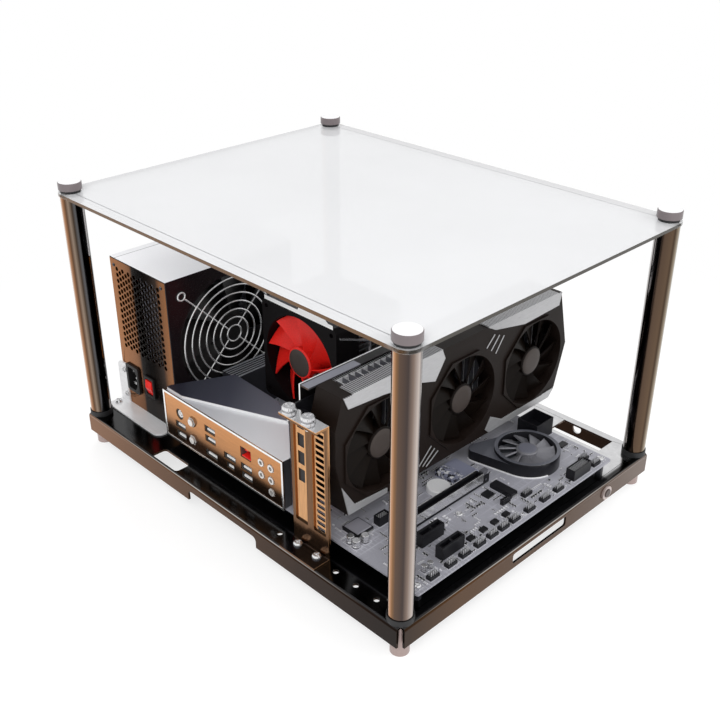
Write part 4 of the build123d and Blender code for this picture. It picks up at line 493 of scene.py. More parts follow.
# Faces on the port side bright: painted highlight
by_side(lid_top_mat, PORT_SIDE, PAINTED_HIGHLIGHT)
fin_mat = material(
    "fin_aluminium", (0.55, 0.56, 0.58), 0.28, 1.0,
    grain=0.06, grain_scale=900, stretch=(1, 0.1, 1), tint=0.08,
)
pipe_mat = material("pipe_copper", (0.70, 0.40, 0.26), 0.22, 1.0, grain=0.04, grain_scale=900, tint=0.08)
red_mat = material("fan_red", (0.88, 0.022, 0.016), 0.30, grain=0.05, grain_scale=1300, tint=0.1, spec=0.35)
black_mat = material("fan_black", NEAR_BLACK, 0.42, grain=0.15, grain_scale=1800, tint=0.2, spec=0.3)
shade_mat = material(
    "shade_black", (0.004, 0.003, 0.0035), 0.6, grain=0.1, grain_scale=1800, tint=0.2, spec=0.1
)
hub_mat = material("hub_grey", (0.046, 0.035, 0.030), 0.44, grain=0.12, grain_scale=2200, tint=0.1, spec=0.3)

# Power supply and its angle
SUPPLY_SHADE = (
    (0.114, 0.42),
    (0.121, 0.34),
    (0.127, 0.04),
    (0.150, 0.01),
    (0.163, 0.015),
    (0.166, 0.36),
    (0.182, 0.44),
    (0.198, 0.54),
)
LID_SEAM = ((0.186, 1), (0.1893, 1), (0.1899, 0.1), (0.1905, 1), (0.194, 1))
case_mat = material(
    "supply_rear", (0.62, 0.235, 0.065), 0.20, 1.0,
    grain=0.05, grain_scale=800, stretch=(1, 1, 0.1), tint=0.1,
)
# Darker across the middle of the copper rear: painted reflection
along(case_mat, Y_AXIS, SUPPLY_SHADE)
by_side(case_mat, Y_AXIS, SHEET_BLACK)
by_side(case_mat, X_AXIS, SHEET_BLACK)
supply_mat = material(
    "supply_black", (0.010, 0.007, 0.008), 0.25, grain=0.06, grain_scale=1500, tint=0.2, spec=0.3
)
# Top faces near white: painted reflection
by_side(supply_mat, UP, (0.98, 0.98, 1.0))
along(supply_mat, Y_AXIS, LID_SEAM)
wire_mat = material("wire_chrome", (0.86, 0.86, 0.86), 0.22, 0.8, grain_scale=900, tint=0.05)
angle_mat = material(
    "angle_pale", (0.90, 0.90, 0.91), 0.34, 0.3, grain=0.03, grain_scale=900, stretch=(1, 0.1, 1), tint=0.04
)

# Graphics card, its bracket and the upright that holds it
FIN_PITCH = 2.0 * MM
FIN_GAP_SHARE = 0.45
BACK_END = (-0.0805, -0.0795)
BACK_GROOVE = (2.6 * MM, 2.4 * MM)
BACK_HIGHLIGHT_EDGE = (1.4 * MM, 1.2 * MM)
back_low, back_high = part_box("gpu_backplate")
bracket_mat = material(
    "card_bracket_copper", (0.62, 0.33, 0.15), 0.14, 1.0, grain=0.05, stretch=(1, 1, 0.1), tint=0.12
)
# Top faces pale: painted highlight
by_side(bracket_mat, UP, (0.86, 0.86, 0.87))
holder_mat = material(
    "upright_dark", (0.17, 0.085, 0.04), 0.16, 1.0, grain=0.04, stretch=(1, 1, 0.1), tint=0.15
)
# Top faces dark and faces on the button's side bright copper: painted shade and painted light
by_side(holder_mat, UP, (0.05, 0.05, 0.055))
by_side(holder_mat, BUTTON_SIDE, (0.36, 0.19, 0.09))
sink_mat = material("card_fins", (0.88, 0.88, 0.89), 0.42, 0.2, grain=0.06, grain_scale=900, tint=0.06)
# Dark stripes on level faces stand for the shaded gaps between fins, and faces on the port side are darker:
# painted shade
comb(sink_mat, X_AXIS, FIN_PITCH, FIN_GAP_SHARE, FIN_GAP_SHADE)
by_side(sink_mat, PORT_SIDE, (0.16, 0.16, 0.18))
blade_mat = material(
    "card_blade", (0.0055, 0.0035, 0.0025), 0.36, grain=0.12, grain_scale=1800, tint=0.2, spec=0.10
)
shroud_mat = material(
    "card_shroud", (0.0105, 0.0065, 0.005), 0.46, grain=0.18, grain_scale=1500, tint=0.2, spec=0.14
)
trim_mat = material(
    "card_silver", (0.48, 0.48, 0.49), 0.30, 0.5,
    grain=0.10, grain_scale=1500, stretch=(0.15, 1, 1), tint=0.07,
)
# Dark stripes stand for the shaded gaps between fins: painted shade
comb(trim_mat, X_AXIS, FIN_PITCH, FIN_GAP_SHARE, FIN_GAP_SHADE)
back_mat = material("card_backplate", BACK_GREY, 0.34, 0.5, grain=0.10, grain_scale=1500, tint=0.1)
by_side(back_mat, UP, (0.33, 0.335, 0.385))
by_place(back_mat, X_AXIS, *BACK_END, NEAR_BLACK)
by_side(back_mat, PORT_SIDE, (0.06, 0.035, 0.025))
# A near-black band, then a bright band along the far edge; the bright band is a painted highlight
for (start, end), color in ((BACK_GROOVE, NEAR_BLACK), (BACK_HIGHLIGHT_EDGE, PAINTED_HIGHLIGHT)):
    by_place(back_mat, Y_AXIS, back_high.y - start, back_high.y - end, color)
by_side(back_mat, Y_AXIS, BACK_GREY)

looks = {
    "base_tray": tray_mat, "feet": foot_mat, "posts": post_mat, "post_collars": rubber_mat,
    "top_plate": plate_mat, "plate_washers": rubber_mat, "plate_caps": cap_mat,
    "power_button_body": bezel_mat, "power_button": press_mat, "standoffs": dark_mat,
    "motherboard": board_mat, "board_screws": steel_mat, "io_shield": shield_mat, "io_cover": cover_mat,
    "io_ports": port_mat, "io_round_ports": stud_mat, "vrm_heatsink": dark_mat, "cpu_socket": steel_mat,
    "cooler_base": fin_mat, "heat_pipes": pipe_mat, "cooler_fins": fin_mat, "cooler_top": lid_top_mat,
    "cpu_fan_frame": shade_mat, "cpu_fan_rotor": red_mat, "fan_clips": steel_mat,
    "memory_slots": slot_mat, "memory_modules": module_mat, "memory_latch_1": white_mat,
    "memory_latch_2": white_mat, "pcie_slots": slot_mat, "pcie_latch_1": latch_mat,
    "pcie_latch_2": latch_mat, "chipset_cover": ring_mat, "chipset_fan_rotor": rotor_mat,
    "storage_cover": storage_mat, "coin_battery": battery_mat, "board_connectors": slot_mat,
    "board_chips": slot_mat, "psu_case": case_mat, "psu_cover": supply_mat, "psu_fan_frame": shade_mat,
    "psu_fan_rotor": black_mat, "psu_grille": wire_mat, "power_inlet": black_mat,
    "switch_frame": black_mat, "power_switch": red_mat, "psu_circuit_board": board_mat,
    "psu_bracket": angle_mat, "gpu_circuit_board": slot_mat, "gpu_backplate": back_mat,
    "gpu_heatsink": sink_mat, "gpu_shroud": shroud_mat, "gpu_trim": trim_mat, "gpu_fan_1": blade_mat,
    "gpu_fan_2": blade_mat, "gpu_fan_3": blade_mat, "gpu_bracket": bracket_mat,
    "card_holder": holder_mat, "thumbscrews": steel_mat, "bench_screws": steel_mat,
}
for name, obj in nodes.items():
    obj.data.materials.clear()
    obj.data.materials.append(looks[name])

# Softened edges that catch the light, with their widths in millimetres
WELD_GAP = 1e-6
EDGE_ANGLE = math.radians(40)
EDGES = {
    "base_tray": 0.35, "io_shield": 0.2, "io_cover": 0.5, "gpu_backplate": 0.4, "gpu_shroud": 0.4,
    "gpu_trim": 0.3, "psu_case": 0.3, "psu_cover": 0.4, "pcie_slots": 0.3, "board_connectors": 0.25,
    "chipset_cover": 0.8, "storage_cover": 0.3, "gpu_bracket": 0.15, "card_holder": 0.3,
    "psu_bracket": 0.3, "top_plate": 0.25,
}
for name, width in EDGES.items():
    weld = nodes[name].modifiers.new("weld", "WELD")
    weld.merge_threshold = WELD_GAP
    bevel = nodes[name].modifiers.new("edge", "BEVEL")
    bevel.width = width * MM
    bevel.segments = 2
    bevel.limit_method = "ANGLE"
    bevel.angle_limit = EDGE_ANGLE
    bevel.harden_normals = True

# Mesh helpers
SHARP_ANGLE = math.radians(35)
WIRE_FINENESS = 3


def solids(node):
    """The separate solids of a CAD node, each as a list of its points, in a steady order."""
    work = bmesh.new()
    work.from_mesh(nodes[node].data)
    bmesh.ops.remove_doubles(work, verts=work.verts, dist=WELD_GAP)
    seen = set()
    found = []
    for seed in work.verts:
        if seed.index in seen:
            continue
        seen.add(seed.index)
        group = [seed]
        for vert in group:
            for edge in vert.link_edges:
                other = edge.other_vert(vert)
                if other.index not in seen:
                    seen.add(other.index)
                    group.append(other)
        found.append([v.co.copy() for v in group])
    work.free()
    return sorted(found, key=lambda points: tuple(round(c, 5) for c in points_box(points)[0]))


def points_box(points):
    """Lowest and highest corner of some points."""
    low = Vector([min(p[i] for p in points) for i in range(3)])
    high = Vector([max(p[i] for p in points) for i in range(3)])
    return low, high


def upright(height):
    """Vector that points straight up."""
    return Vector((0, 0, height))


def piece(name, build, mats, body=BODY):
    """Turn a bmesh into a piece that rides on a body."""
    mesh = bpy.data.meshes.new(name)
    bmesh.ops.recalc_face_normals(build, faces=build.faces)
    build.to_mesh(mesh)
    build.free()
    for mat in mats:
        mesh.materials.append(mat)
    mesh.shade_smooth()
    mesh.set_sharp_from_angle(angle=SHARP_ANGLE)
    obj = bpy.data.objects.new(name, mesh)
    scene.collection.objects.link(obj)
    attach(obj, body)
    return obj


def skin(build, rows, slot=0):
    """Close rows of points, all of one length, into a form with a cap at each end."""
    rows = [[build.verts.new(point) for point in row] for row in rows]
    faces = [build.faces.new(rows[0]), build.faces.new(rows[-1])]
    for lower, upper in zip(rows, rows[1:]):
        for i in range(len(lower)):
            faces.append(build.faces.new((lower[i - 1], lower[i], upper[i], upper[i - 1])))
    for face in faces:
        face.material_index = slot


def brick(build, low, high, slot=0, chamfer=0.0):
    """Add a block with a chamfered top, by its two corners."""
    (x0, y0, z0), (x1, y1, z1) = low, high
    levels = [(0, z0), (0, z1 - chamfer), (chamfer, z1)] if chamfer else [(0, z0), (0, z1)]
    rows = []
    for inset, z in levels:
        a, b, c, d = x0 + inset, x1 - inset, y0 + inset, y1 - inset
        rows.append([(a, c, z), (b, c, z), (b, d, z), (a, d, z)])
    skin(build, rows, slot)


def turned(build, at, axis, rings, sides=28, slot=0):
    """Add a turned form; rings are (radius, height) from foot to top, then (lobes, depth) if wavy."""
    turn = Vector(axis).to_track_quat("Z", "Y").to_matrix().to_4x4()
    place = Matrix.Translation(Vector(at)) @ turn
    rows = []
    for radius, height, *wave in rings:
        lobes, depth = wave if wave else (0, 0.0)
        row = []
        for k in range(sides):
            angle = math.tau * k / sides
            r = radius * (1 + depth * math.cos(lobes * angle))
            row.append(place @ Vector((r * math.cos(angle), r * math.sin(angle), height)))
        rows.append(row)
    skin(build, rows, slot)


def rings_of(profile, radius, height, start=0.0):
    """Rings for turned() from a profile of (share of radius, share of height) and any lobes."""
    return [(share * radius, start + rise * height, *wave) for share, rise, *wave in profile]


def wire(name, runs, radius, mat, body=BODY):
    """Round wire along closed or open runs, given as (closed, points)."""
    data = bpy.data.curves.new(name, "CURVE")
    data.dimensions = "3D"
    data.bevel_depth = radius
    data.bevel_resolution = WIRE_FINENESS
    data.use_fill_caps = True
    for closed, points in runs:
        spline = data.splines.new("POLY")
        spline.points.add(len(points) - 1)
        for knot, at in zip(spline.points, points):
            knot.co = (*at, 1)
        spline.use_cyclic_u = closed
        spline.use_smooth = True
    data.materials.append(mat)
    obj = bpy.data.objects.new(name, data)
    scene.collection.objects.link(obj)
    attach(obj, body)
    return obj


# Power supply grille of round wire
GRILLE_RINGS = 7
GRILLE_STEP = 7.8 * MM
WIRE_R = 0.8 * MM
LOOP_R = 3.7 * MM
RING_SIDES = 64


def circle(x, y, z, radius):
    """Points of an upright circle that faces the button's side."""
    angles = [math.tau * k / RING_SIDES for k in range(RING_SIDES)]
    return [(x + radius * math.cos(a), y, z + radius * math.sin(a)) for a in angles]


low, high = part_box("psu_grille")
mid = (low + high) / 2
ring_y = low.y + WIRE_R
spoke_y = high.y - WIRE_R
loop_reach = high.x - mid.x - LOOP_R - WIRE_R
runs = [(True, circle(mid.x, ring_y, mid.z, (k + 1) * GRILLE_STEP)) for k in range(GRILLE_RINGS)]
for side_x, side_z in ((1, 1), (-1, 1), (-1, -1), (1, -1)):
    spoke = Vector((side_x, 0, side_z)).normalized()
    hub = Vector((mid.x, spoke_y, mid.z))
    runs.append((False, [hub + GRILLE_STEP * spoke, hub + (loop_reach * math.sqrt(2) - LOOP_R) * spoke]))
    runs.append((True, circle(mid.x + side_x * loop_reach, spoke_y, mid.z + side_z * loop_reach, LOOP_R)))
grille = wire("grille_wires", runs, WIRE_R, wire_mat)
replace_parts(grille, "psu_grille")

# Screws with a cross recess
RECESS = ((0.52, 0.0, 4, 0.34), (0.44, 0.6, 4, 0.36), (0.10, 1.0))
PAN_HEAD = ((1.0, 0.0), (1.0, 0.45), (0.9, 0.8), (0.72, 1.0))
PAN_RECESS = 0.6
THUMB_HEAD = ((1.0, 0.0), (1.0, 0.24), (0.69, 0.3), (0.69, 0.5), (0.91, 0.55, 24, 0.03))
THUMB_TOP = ((0.91, -0.4, 24, 0.03), (0.82, 0.0))
THUMB_RECESS = 0.4
THUMB_SHANK = 7.0 * MM
SCREW_SIDES = 48
RIM_SHARE = 0.85
HEAD_MARGIN = 1.1


def recess(radius, top, depth):
    """Rings of a cross-shaped recess, from its rim to its floor."""
    return rings_of(RECESS, radius, -depth, top)


def screw_form(points):
    """Foot, outward axis, shank radius and length, head radius and head height of a turned screw."""
    low, high = points_box(points)
    size = high - low
    mid = (low + high) / 2
    along_axis = min(range(3), key=lambda i: abs(size[(i + 1) % 3] - size[(i + 2) % 3]))
    axis = Vector([float(i == along_axis) for i in range(3)])
    away = [((p - mid) - (p - mid).dot(axis) * axis).length for p in points]
    rim = [p[along_axis] for p, r in zip(points, away) if r > RIM_SHARE * max(away)]
    if sum(rim) / len(rim) < mid[along_axis]:
        axis = -axis
    head_h = max(rim) - min(rim)
    length = size[along_axis]
    shank_end = length / 2 - HEAD_MARGIN * head_h
    shank = [r for p, r in zip(points, away) if (p - mid).dot(axis) < shank_end]
    return mid - axis * length / 2, axis, max(shank), length, max(away), head_h


for node in ("board_screws", "bench_screws", "thumbscrews"):
    build = bmesh.new()
    for points in solids(node):
        foot, axis, shank_r, length, head_r, head_h = screw_form(points)
        if node == "thumbscrews":
            head_h = length - THUMB_SHANK
            head = rings_of(THUMB_HEAD, head_r, head_h, THUMB_SHANK)
            head += rings_of(THUMB_TOP, head_r, MM, length)
            cross = recess(head_r, length, THUMB_RECESS * head_h)
        else:
            head = rings_of(PAN_HEAD, head_r, head_h, length - head_h)
            cross = recess(head_r, length, PAN_RECESS * head_h)
        shank = [(shank_r, 0), (shank_r, length - head_h)]
        turned(build, foot, axis, shank + head + cross, SCREW_SIDES)
    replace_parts(piece(f"{node}_cut", build, [steel_mat]), node)

# Hub discs of the fans
HUB_DISC = 0.5 * MM
HUB_PROFILE = ((0.97, -0.1), (1.0, 0.3), (0.97, 0.7), (0.6, 0.9), (0.05, 1.0))
HUB_FACE = 0.2 * MM
HUB_SIDES = 48
for body, node, share, mat in (
    ("cpu_fan", "cpu_fan_rotor", 0.94, hub_mat),
    ("card_fan_1", "gpu_fan_1", 0.94, hub_mat),
    ("card_fan_2", "gpu_fan_2", 0.94, hub_mat),
    ("card_fan_3", "gpu_fan_3", 0.94, hub_mat),
    ("chipset_fan", "chipset_fan_rotor", 0.90, chip_cover_mat),
):
    low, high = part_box(node)
    centre = joint_at[body].copy()
    if body == "chipset_fan":
        outward = Vector(UP)
        centre.z = high.z
    elif body == "cpu_fan":
        outward = Vector(PORT_SIDE)
        centre.x = low.x
    else:
        outward = Vector(BUTTON_SIDE)
        centre.y = low.y
    offsets = [v.co - centre for v in nodes[node].data.vertices]
    radius = share * max(v.length for v in offsets if abs(v.dot(outward)) < HUB_FACE)
    build = bmesh.new()
    turned(build, centre, outward, rings_of(HUB_PROFILE, radius, HUB_DISC), HUB_SIDES)
    piece(f"{node}_disc", build, [mat], body)

# Pins in the headers
PIN = 0.32 * MM
PIN_STEP = 2.0 * MM
PIN_EDGE = 2.4 * MM
PIN_TOP = 6.4 * MM
PIN_FOOT = 0.3
PIN_SUNK = 0.8 * MM
LOW_BASE = 3.0 * MM
TALL_BASE = 10.5 * MM
board_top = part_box("motherboard")[1].z
pins = bmesh.new()
footprints = []
for points in solids("board_connectors"):
    low, high = points_box(points)
    footprints.append((low, high))
    size = high - low
    if size.z > TALL_BASE:
        continue
    columns = max(1, int((size.x - PIN_EDGE) / PIN_STEP) + 1)
    rows = max(1, int((size.y - PIN_EDGE) / PIN_STEP) + 1)
    mid = (low + high) / 2
    foot_z = low.z + PIN_FOOT * size.z
    tip_z = board_top + PIN_TOP if size.z < LOW_BASE else high.z - PIN_SUNK
    for i in range(columns):
        for j in range(rows):
            x = mid.x + (i - (columns - 1) / 2) * PIN_STEP
            y = mid.y + (j - (rows - 1) / 2) * PIN_STEP
            brick(pins, (x - PIN, y - PIN, foot_z), (x + PIN, y + PIN, tip_z), chamfer=0.5 * PIN)
piece("header_pins", pins, [pin_mat])

# Legs on the chips, silver cans and the square chip's lid
LEG_STEP = 1.1 * MM
LEG_OUT = 0.9 * MM
LEG_W = 0.45 * MM
LEG_H = 0.45
CAN_MIN = 4.5 * MM
CAN_PROFILE = (
    (1.04, 0.12), (1.04, 0.3), (0.98, 0.36), (1.04, 0.42), (1.04, 0.97), (0.95, 1.02), (0.1, 1.02),
)
LID_MIN = 12 * MM
LID_INSET = Vector((MM, MM, 0))
LID_H = 0.8 * MM
legs = bmesh.new()
cans = bmesh.new()
lids = bmesh.new()
for points in solids("board_chips"):
    low, high = points_box(points)
    footprints.append((low, high))
    size = high - low
    mid = (low + high) / 2
    if size.z > CAN_MIN:
        turned(cans, (mid.x, mid.y, low.z), UP, rings_of(CAN_PROFILE, size.x / 2, size.z))
        continue
    if size.x > LID_MIN:
        lid_low = low + LID_INSET + upright(size.z)
        brick(lids, lid_low, high - LID_INSET + upright(LID_H), chamfer=0.3 * MM)
    for k in range(int((size.x - MM) / LEG_STEP)):
        x = low.x + MM + k * LEG_STEP
        for y0, y1 in ((low.y - LEG_OUT, low.y), (high.y, high.y + LEG_OUT)):
            brick(legs, (x, y0, low.z), (x + LEG_W, y1, low.z + LEG_H * size.z), chamfer=0.1 * MM)
piece("chip_legs", legs, [tin_mat])
piece("can_sleeves", cans, [steel_mat])
piece("chip_lid", lids, [lid_mat])

# Printed outlines round the parts and solder dots round the screws
PRINT_W = 0.3 * MM
PRINT_H = 0.05 * MM
PRINT_GAP = 0.9 * MM
DOTS = 8
DOT_GAP = 1.1 * MM
DOT_PROFILE = ((0.55, 0.0), (0.45, 0.2), (0.1, 0.28))
marks = bmesh.new()
for low, high in footprints:
    x0, x1, y0, y1 = low.x - PRINT_GAP, high.x + PRINT_GAP, low.y - PRINT_GAP, high.y + PRINT_GAP
    for line_low, line_high in (
        ((x0, y0), (x1, y0 + PRINT_W)),
        ((x0, y1 - PRINT_W), (x1, y1)),
        ((x0, y0), (x0 + PRINT_W, y1)),
        ((x1 - PRINT_W, y0), (x1, y1)),
    ):
        brick(marks, (*line_low, board_top), (*line_high, board_top + PRINT_H))
dots = bmesh.new()
for points in solids("board_screws"):
    low, high = points_box(points)
    mid = (low + high) / 2
    dot_reach = 0.5 * (high.x - low.x) + DOT_GAP
    for k in range(DOTS):
        angle = math.tau * (k + 0.5) / DOTS
        spot = (mid.x + dot_reach * math.cos(angle), mid.y + dot_reach * math.sin(angle), board_top)
        turned(dots, spot, UP, rings_of(DOT_PROFILE, MM, MM), sides=10)
piece("board_marks", marks, [mark_mat])
piece("solder_dots", dots, [tin_mat])

# Small resistors and capacitors in rows on the free board, more of them towards the button's side
CHIP_SIZES = ((1.6, 0.8, 0.6), (2.0, 1.25, 0.9), (3.2, 1.6, 1.2))
CHIP_SLOTS = (0, 0, 2)
CHIP_STEP = 1.7
CHIP_SKIN = 0.06 * MM
CHIP_CHAMFER = 0.1 * MM
END_SHARE = 0.25
END_SLOT = 1
ROW_MOST = 6
CROWDING = 2.2
FREE_EDGE = 3.0 * MM
FREE_GAP = 0.35 * MM
CLUSTERS = 850
taken = []
for node in (
    "board_connectors", "board_chips", "pcie_slots", "pcie_latch_1", "pcie_latch_2", "chipset_cover",
    "storage_cover", "coin_battery", "memory_slots", "memory_latch_1", "memory_latch_2", "cpu_socket",
    "cooler_base", "vrm_heatsink", "io_ports", "io_round_ports", "board_screws",
):
    taken += [points_box(points) for points in solids(node)]
board_low, board_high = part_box("motherboard")


def is_free(low, high):
    """Whether a small part lies on the board, clear of what is already there."""
    if high.x > board_high.x - FREE_EDGE or high.y > board_high.y - FREE_EDGE:
        return False
    gap = FREE_GAP
    return all(
        high.x + gap < a.x or low.x - gap > b.x or high.y + gap < a.y or low.y - gap > b.y for a, b in taken
    )


luck = random.Random(11)
small = bmesh.new()
for _ in range(CLUSTERS):
    length, width, height = [s * MM for s in luck.choice(CHIP_SIZES)]
    lengthwise = luck.choice((Vector(X_AXIS), Vector(Y_AXIS)))
    crosswise = Vector((lengthwise.y, lengthwise.x, 0))
    x = luck.uniform(board_low.x + FREE_EDGE, board_high.x - FREE_EDGE)
    free_depth = board_high.y - board_low.y - 2 * FREE_EDGE
    y = board_low.y + FREE_EDGE + free_depth * luck.random() ** CROWDING
    body_slot = luck.choice(CHIP_SLOTS)
    for k in range(luck.randint(1, ROW_MOST)):
        low = Vector((x, y, board_top)) + CHIP_STEP * k * width * crosswise
        high = low + length * lengthwise + width * crosswise + upright(height)
        if not is_free(low, high):
            break
        taken.append((low, high))
        end = END_SHARE * length * lengthwise
        inset = end + CHIP_SKIN * crosswise
        face = width * crosswise + upright(height)
        brick(small, low + inset, high - inset - upright(CHIP_SKIN), body_slot, CHIP_CHAMFER)
        brick(small, low, low + end + face, END_SLOT, CHIP_CHAMFER)
        brick(small, high - end - face, high, END_SLOT, CHIP_CHAMFER)
piece("small_parts", small, [resistor_mat, tin_mat, mark_mat])

# Tongues in the sockets and red lining of the network socket
TONGUED = ("usb_socket", "video_socket", "small_socket")
TONGUE_T = 2.0 * MM
TONGUE_BACK = 0.6 * MM
TONGUE_RISE = 0.34
TONGUE_SIDE = 0.1
LINING_T = 0.7 * MM
TAB_BACK = 2 * MM
TAB_W = 4 * MM
stated = frame["record"]["physics"]["openings"]
openings = {o["name"]: [Vector(corner) for corner in o["box_m"]] for o in stated}
shield_low, shield_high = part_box("io_shield")
tongues = bmesh.new()
for name, (low, high) in openings.items():
    if not name.startswith(TONGUED):
        continue
    side_gap = TONGUE_SIDE * (high.y - low.y)
    z = low.z + TONGUE_RISE * (high.z - low.z)
    tongue_low = (shield_high.x + TONGUE_BACK, low.y + side_gap, z - TONGUE_T / 2)
    tongue_high = (high.x, high.y - side_gap, z + TONGUE_T / 2)
    brick(tongues, tongue_low, tongue_high, chamfer=0.3 * MM)
piece("port_tongues", tongues, [white_mat])
low, high = openings["network_socket"]
lining = bmesh.new()
brick(lining, (shield_high.x, low.y, low.z), (high.x, high.y, low.z + LINING_T), chamfer=0.2 * MM)
mid_y = (low.y + high.y) / 2
tab_low = (shield_high.x + TAB_BACK, mid_y, high.z - 5 * LINING_T)
brick(lining, tab_low, (high.x, mid_y + TAB_W, high.z - LINING_T), chamfer=0.3 * MM)
piece("network_lining", lining, [red_mat])

# Pale insert of the round keyboard socket, with its pin holes
INSERT_SHARE = 1.2
INSERT_BACK = 0.4 * MM
INSERT_PROFILE = ((1.0, -4.0), (1.0, 0.0), (0.86, 0.0), (0.80, -0.6), (0.05, -0.6))
KEY_HOLES = 6
KEY_RING = 0.5
KEY_PROFILE = ((0.5, -0.7), (0.5, -0.55), (0.1, -0.55))
low, high = openings["keyboard_socket"]
insert_r = INSERT_SHARE * (high.y - low.y) / 2
middle = Vector((shield_high.x + INSERT_BACK, (low.y + high.y) / 2, (low.z + high.z) / 2))
insert = bmesh.new()
turned(insert, middle, PORT_SIDE, rings_of(INSERT_PROFILE, insert_r, MM), sides=40)
for k in range(KEY_HOLES):
    angle = math.tau * (k + 0.5) / KEY_HOLES
    off = KEY_RING * insert_r * Vector((0, math.cos(angle), math.sin(angle)))
    turned(insert, middle + off, PORT_SIDE, rings_of(KEY_PROFILE, MM, MM), sides=12, slot=1)
piece("keyboard_insert", insert, [white_mat, slot_mat])

# Antenna nuts with their threads
NUT_R = 4.9 * MM
NUT_H = 1.3 * MM
NUT_PROFILE = ((1.0, 0.0), (1.0, 1.0), (0.86, 1.2))
NUT_SUNK = 0.6 * MM
THREAD_FROM = 1.2 * NUT_H
THREAD_STEP = 0.7 * MM
THREAD_H = 0.25 * MM
THREAD_FLOOR = 0.02 * MM
stud_points = [v.co for v in nodes["io_round_ports"].data.vertices if v.co.x < shield_low.x - MM]
stud_z = sum(p.z for p in stud_points) / len(stud_points)
nuts = bmesh.new()
for upper in (True, False):
    low, high = points_box([p for p in stud_points if (p.z > stud_z) == upper])
    stud_r = (high.z - low.z) / 2
    base = Vector((shield_low.x + NUT_SUNK, (low.y + high.y) / 2, (low.z + high.z) / 2))
    turned(nuts, base, PORT_SIDE, rings_of(NUT_PROFILE, NUT_R, NUT_H), sides=6)
    rings = []
    for k in range(max(1, int((base.x - low.x - THREAD_FROM) / THREAD_STEP))):
        height = THREAD_FROM + k * THREAD_STEP
        rings += [(stud_r + THREAD_FLOOR, height), (stud_r + THREAD_H, height + 0.5 * THREAD_STEP)]
    turned(nuts, base, PORT_SIDE, rings)
piece("antenna_nuts", nuts, [nut_mat])

# Inlet pins
BLADE_HALF = Vector((0, 2.15, 1.15)) * MM
BLADES_AT = ((2.0, 6.5), (2.0, -6.5), (-2.5, 0.0))
BLADE_TIP = 3.4 * MM
BLADE_END = 2.0 * MM
inlet_low, inlet_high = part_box("power_inlet")
inlet = (inlet_low + inlet_high) / 2
blades = bmesh.new()
for off_y, off_z in BLADES_AT:
    spot = Vector((0, inlet.y + off_y * MM, inlet.z + off_z * MM))
    tip = Vector((inlet_low.x + BLADE_TIP, 0, 0))
    end = Vector((inlet_high.x - BLADE_END, 0, 0))
    brick(blades, tip + spot - BLADE_HALF, end + spot + BLADE_HALF, chamfer=0.3 * MM)
piece("inlet_pins", blades, [steel_mat])

# Rivets of the supply's rear
RIVET_R = 1.7 * MM
RIVET_IN = 6.0 * MM
RIVET_H = 0.7 * MM
RIVET_RECESS = 0.5 * MM
RIVET_PROFILE = ((1.0, -0.2), (1.0, 0.3), (0.75, 0.7))
case_low, case_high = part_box("psu_case")
rivets = bmesh.new()
for y in (case_low.y + RIVET_IN, case_high.y - RIVET_IN):
    spot = (case_low.x, y, case_high.z - RIVET_IN)
    rings = rings_of(RIVET_PROFILE, RIVET_R, MM) + recess(RIVET_R, RIVET_H, RIVET_RECESS)
    turned(rivets, spot, PORT_SIDE, rings)
piece("supply_rivets", rivets, [dark_mat])

# Steel sides of the free long slot
GUARD_T = 0.35 * MM
GUARD_FOOT = 3.0 * MM
GUARD_END = 8.0 * MM
LONG_SLOT = 60 * MM
FREE_SLOT_Y = -0.1
guards = bmesh.new()
for points in solids("pcie_slots"):
    low, high = points_box(points)
    if high.x - low.x < LONG_SLOT or low.y > FREE_SLOT_Y:
        continue
    for y0, y1 in ((low.y - GUARD_T, low.y), (high.y, high.y + GUARD_T)):
        guard_low = (low.x + MM, y0, low.z + GUARD_FOOT)
        brick(guards, guard_low, (high.x - GUARD_END, y1, high.z + GUARD_T), chamfer=0.1 * MM)
piece("slot_guards", guards, [steel_mat])

# Bright strip along the foot of the chipset cover, on the side of the ports: a painted highlight made as a piece
STRIP_H = 1.2 * MM
STRIP_EDGE = 0.7
STRIP_OUT = 0.6 * MM
STRIP_SIDE = Vector((-0.95, -0.31))
STRIP_SPREAD = 0.5
FOOT_SPAN = 0.1 * MM


def outline(points):
    """Convex outline of some points in plan, anticlockwise."""
    ordered = sorted(points)
    halves = []
    for row in (ordered, ordered[::-1]):
        half = []
        for x, y in row:
            while len(half) > 1:
                (ax, ay), (bx, by) = half[-2:]
                if (bx - ax) * (y - ay) - (by - ay) * (x - ax) > 0:
                    break
                half.pop()
            half.append((x, y))
        halves += half[:-1]
    return [Vector(corner) for corner in halves]


foot_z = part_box("chipset_cover")[0].z
foot_points = [v.co for v in nodes["chipset_cover"].data.vertices if v.co.z < foot_z + FOOT_SPAN]
foot = outline({(round(p.x, 5), round(p.y, 5)) for p in foot_points})
sides = []
for i, corner in enumerate(foot):
    run = foot[(i + 1) % len(foot)] - foot[i - 1]
    normal = Vector((run.y, -run.x)).normalized()
    sides.append((corner, normal, normal.dot(STRIP_SIDE) > STRIP_SPREAD))
first = next(i for i in range(len(sides)) if sides[i][2] and not sides[i - 1][2])
rows = []
for corner, normal, in_strip in sides[first:] + sides[:first]:
    if not in_strip:
        continue
    outer = corner + STRIP_OUT * normal
    ring = ((corner, 0), (outer, 0), (outer, STRIP_EDGE * STRIP_H), (corner, STRIP_H))
    rows.append([(spot.x, spot.y, foot_z + rise) for spot, rise in ring])
strip = bmesh.new()
skin(strip, rows)
piece("chipset_highlight_strip", strip, [battery_mat])

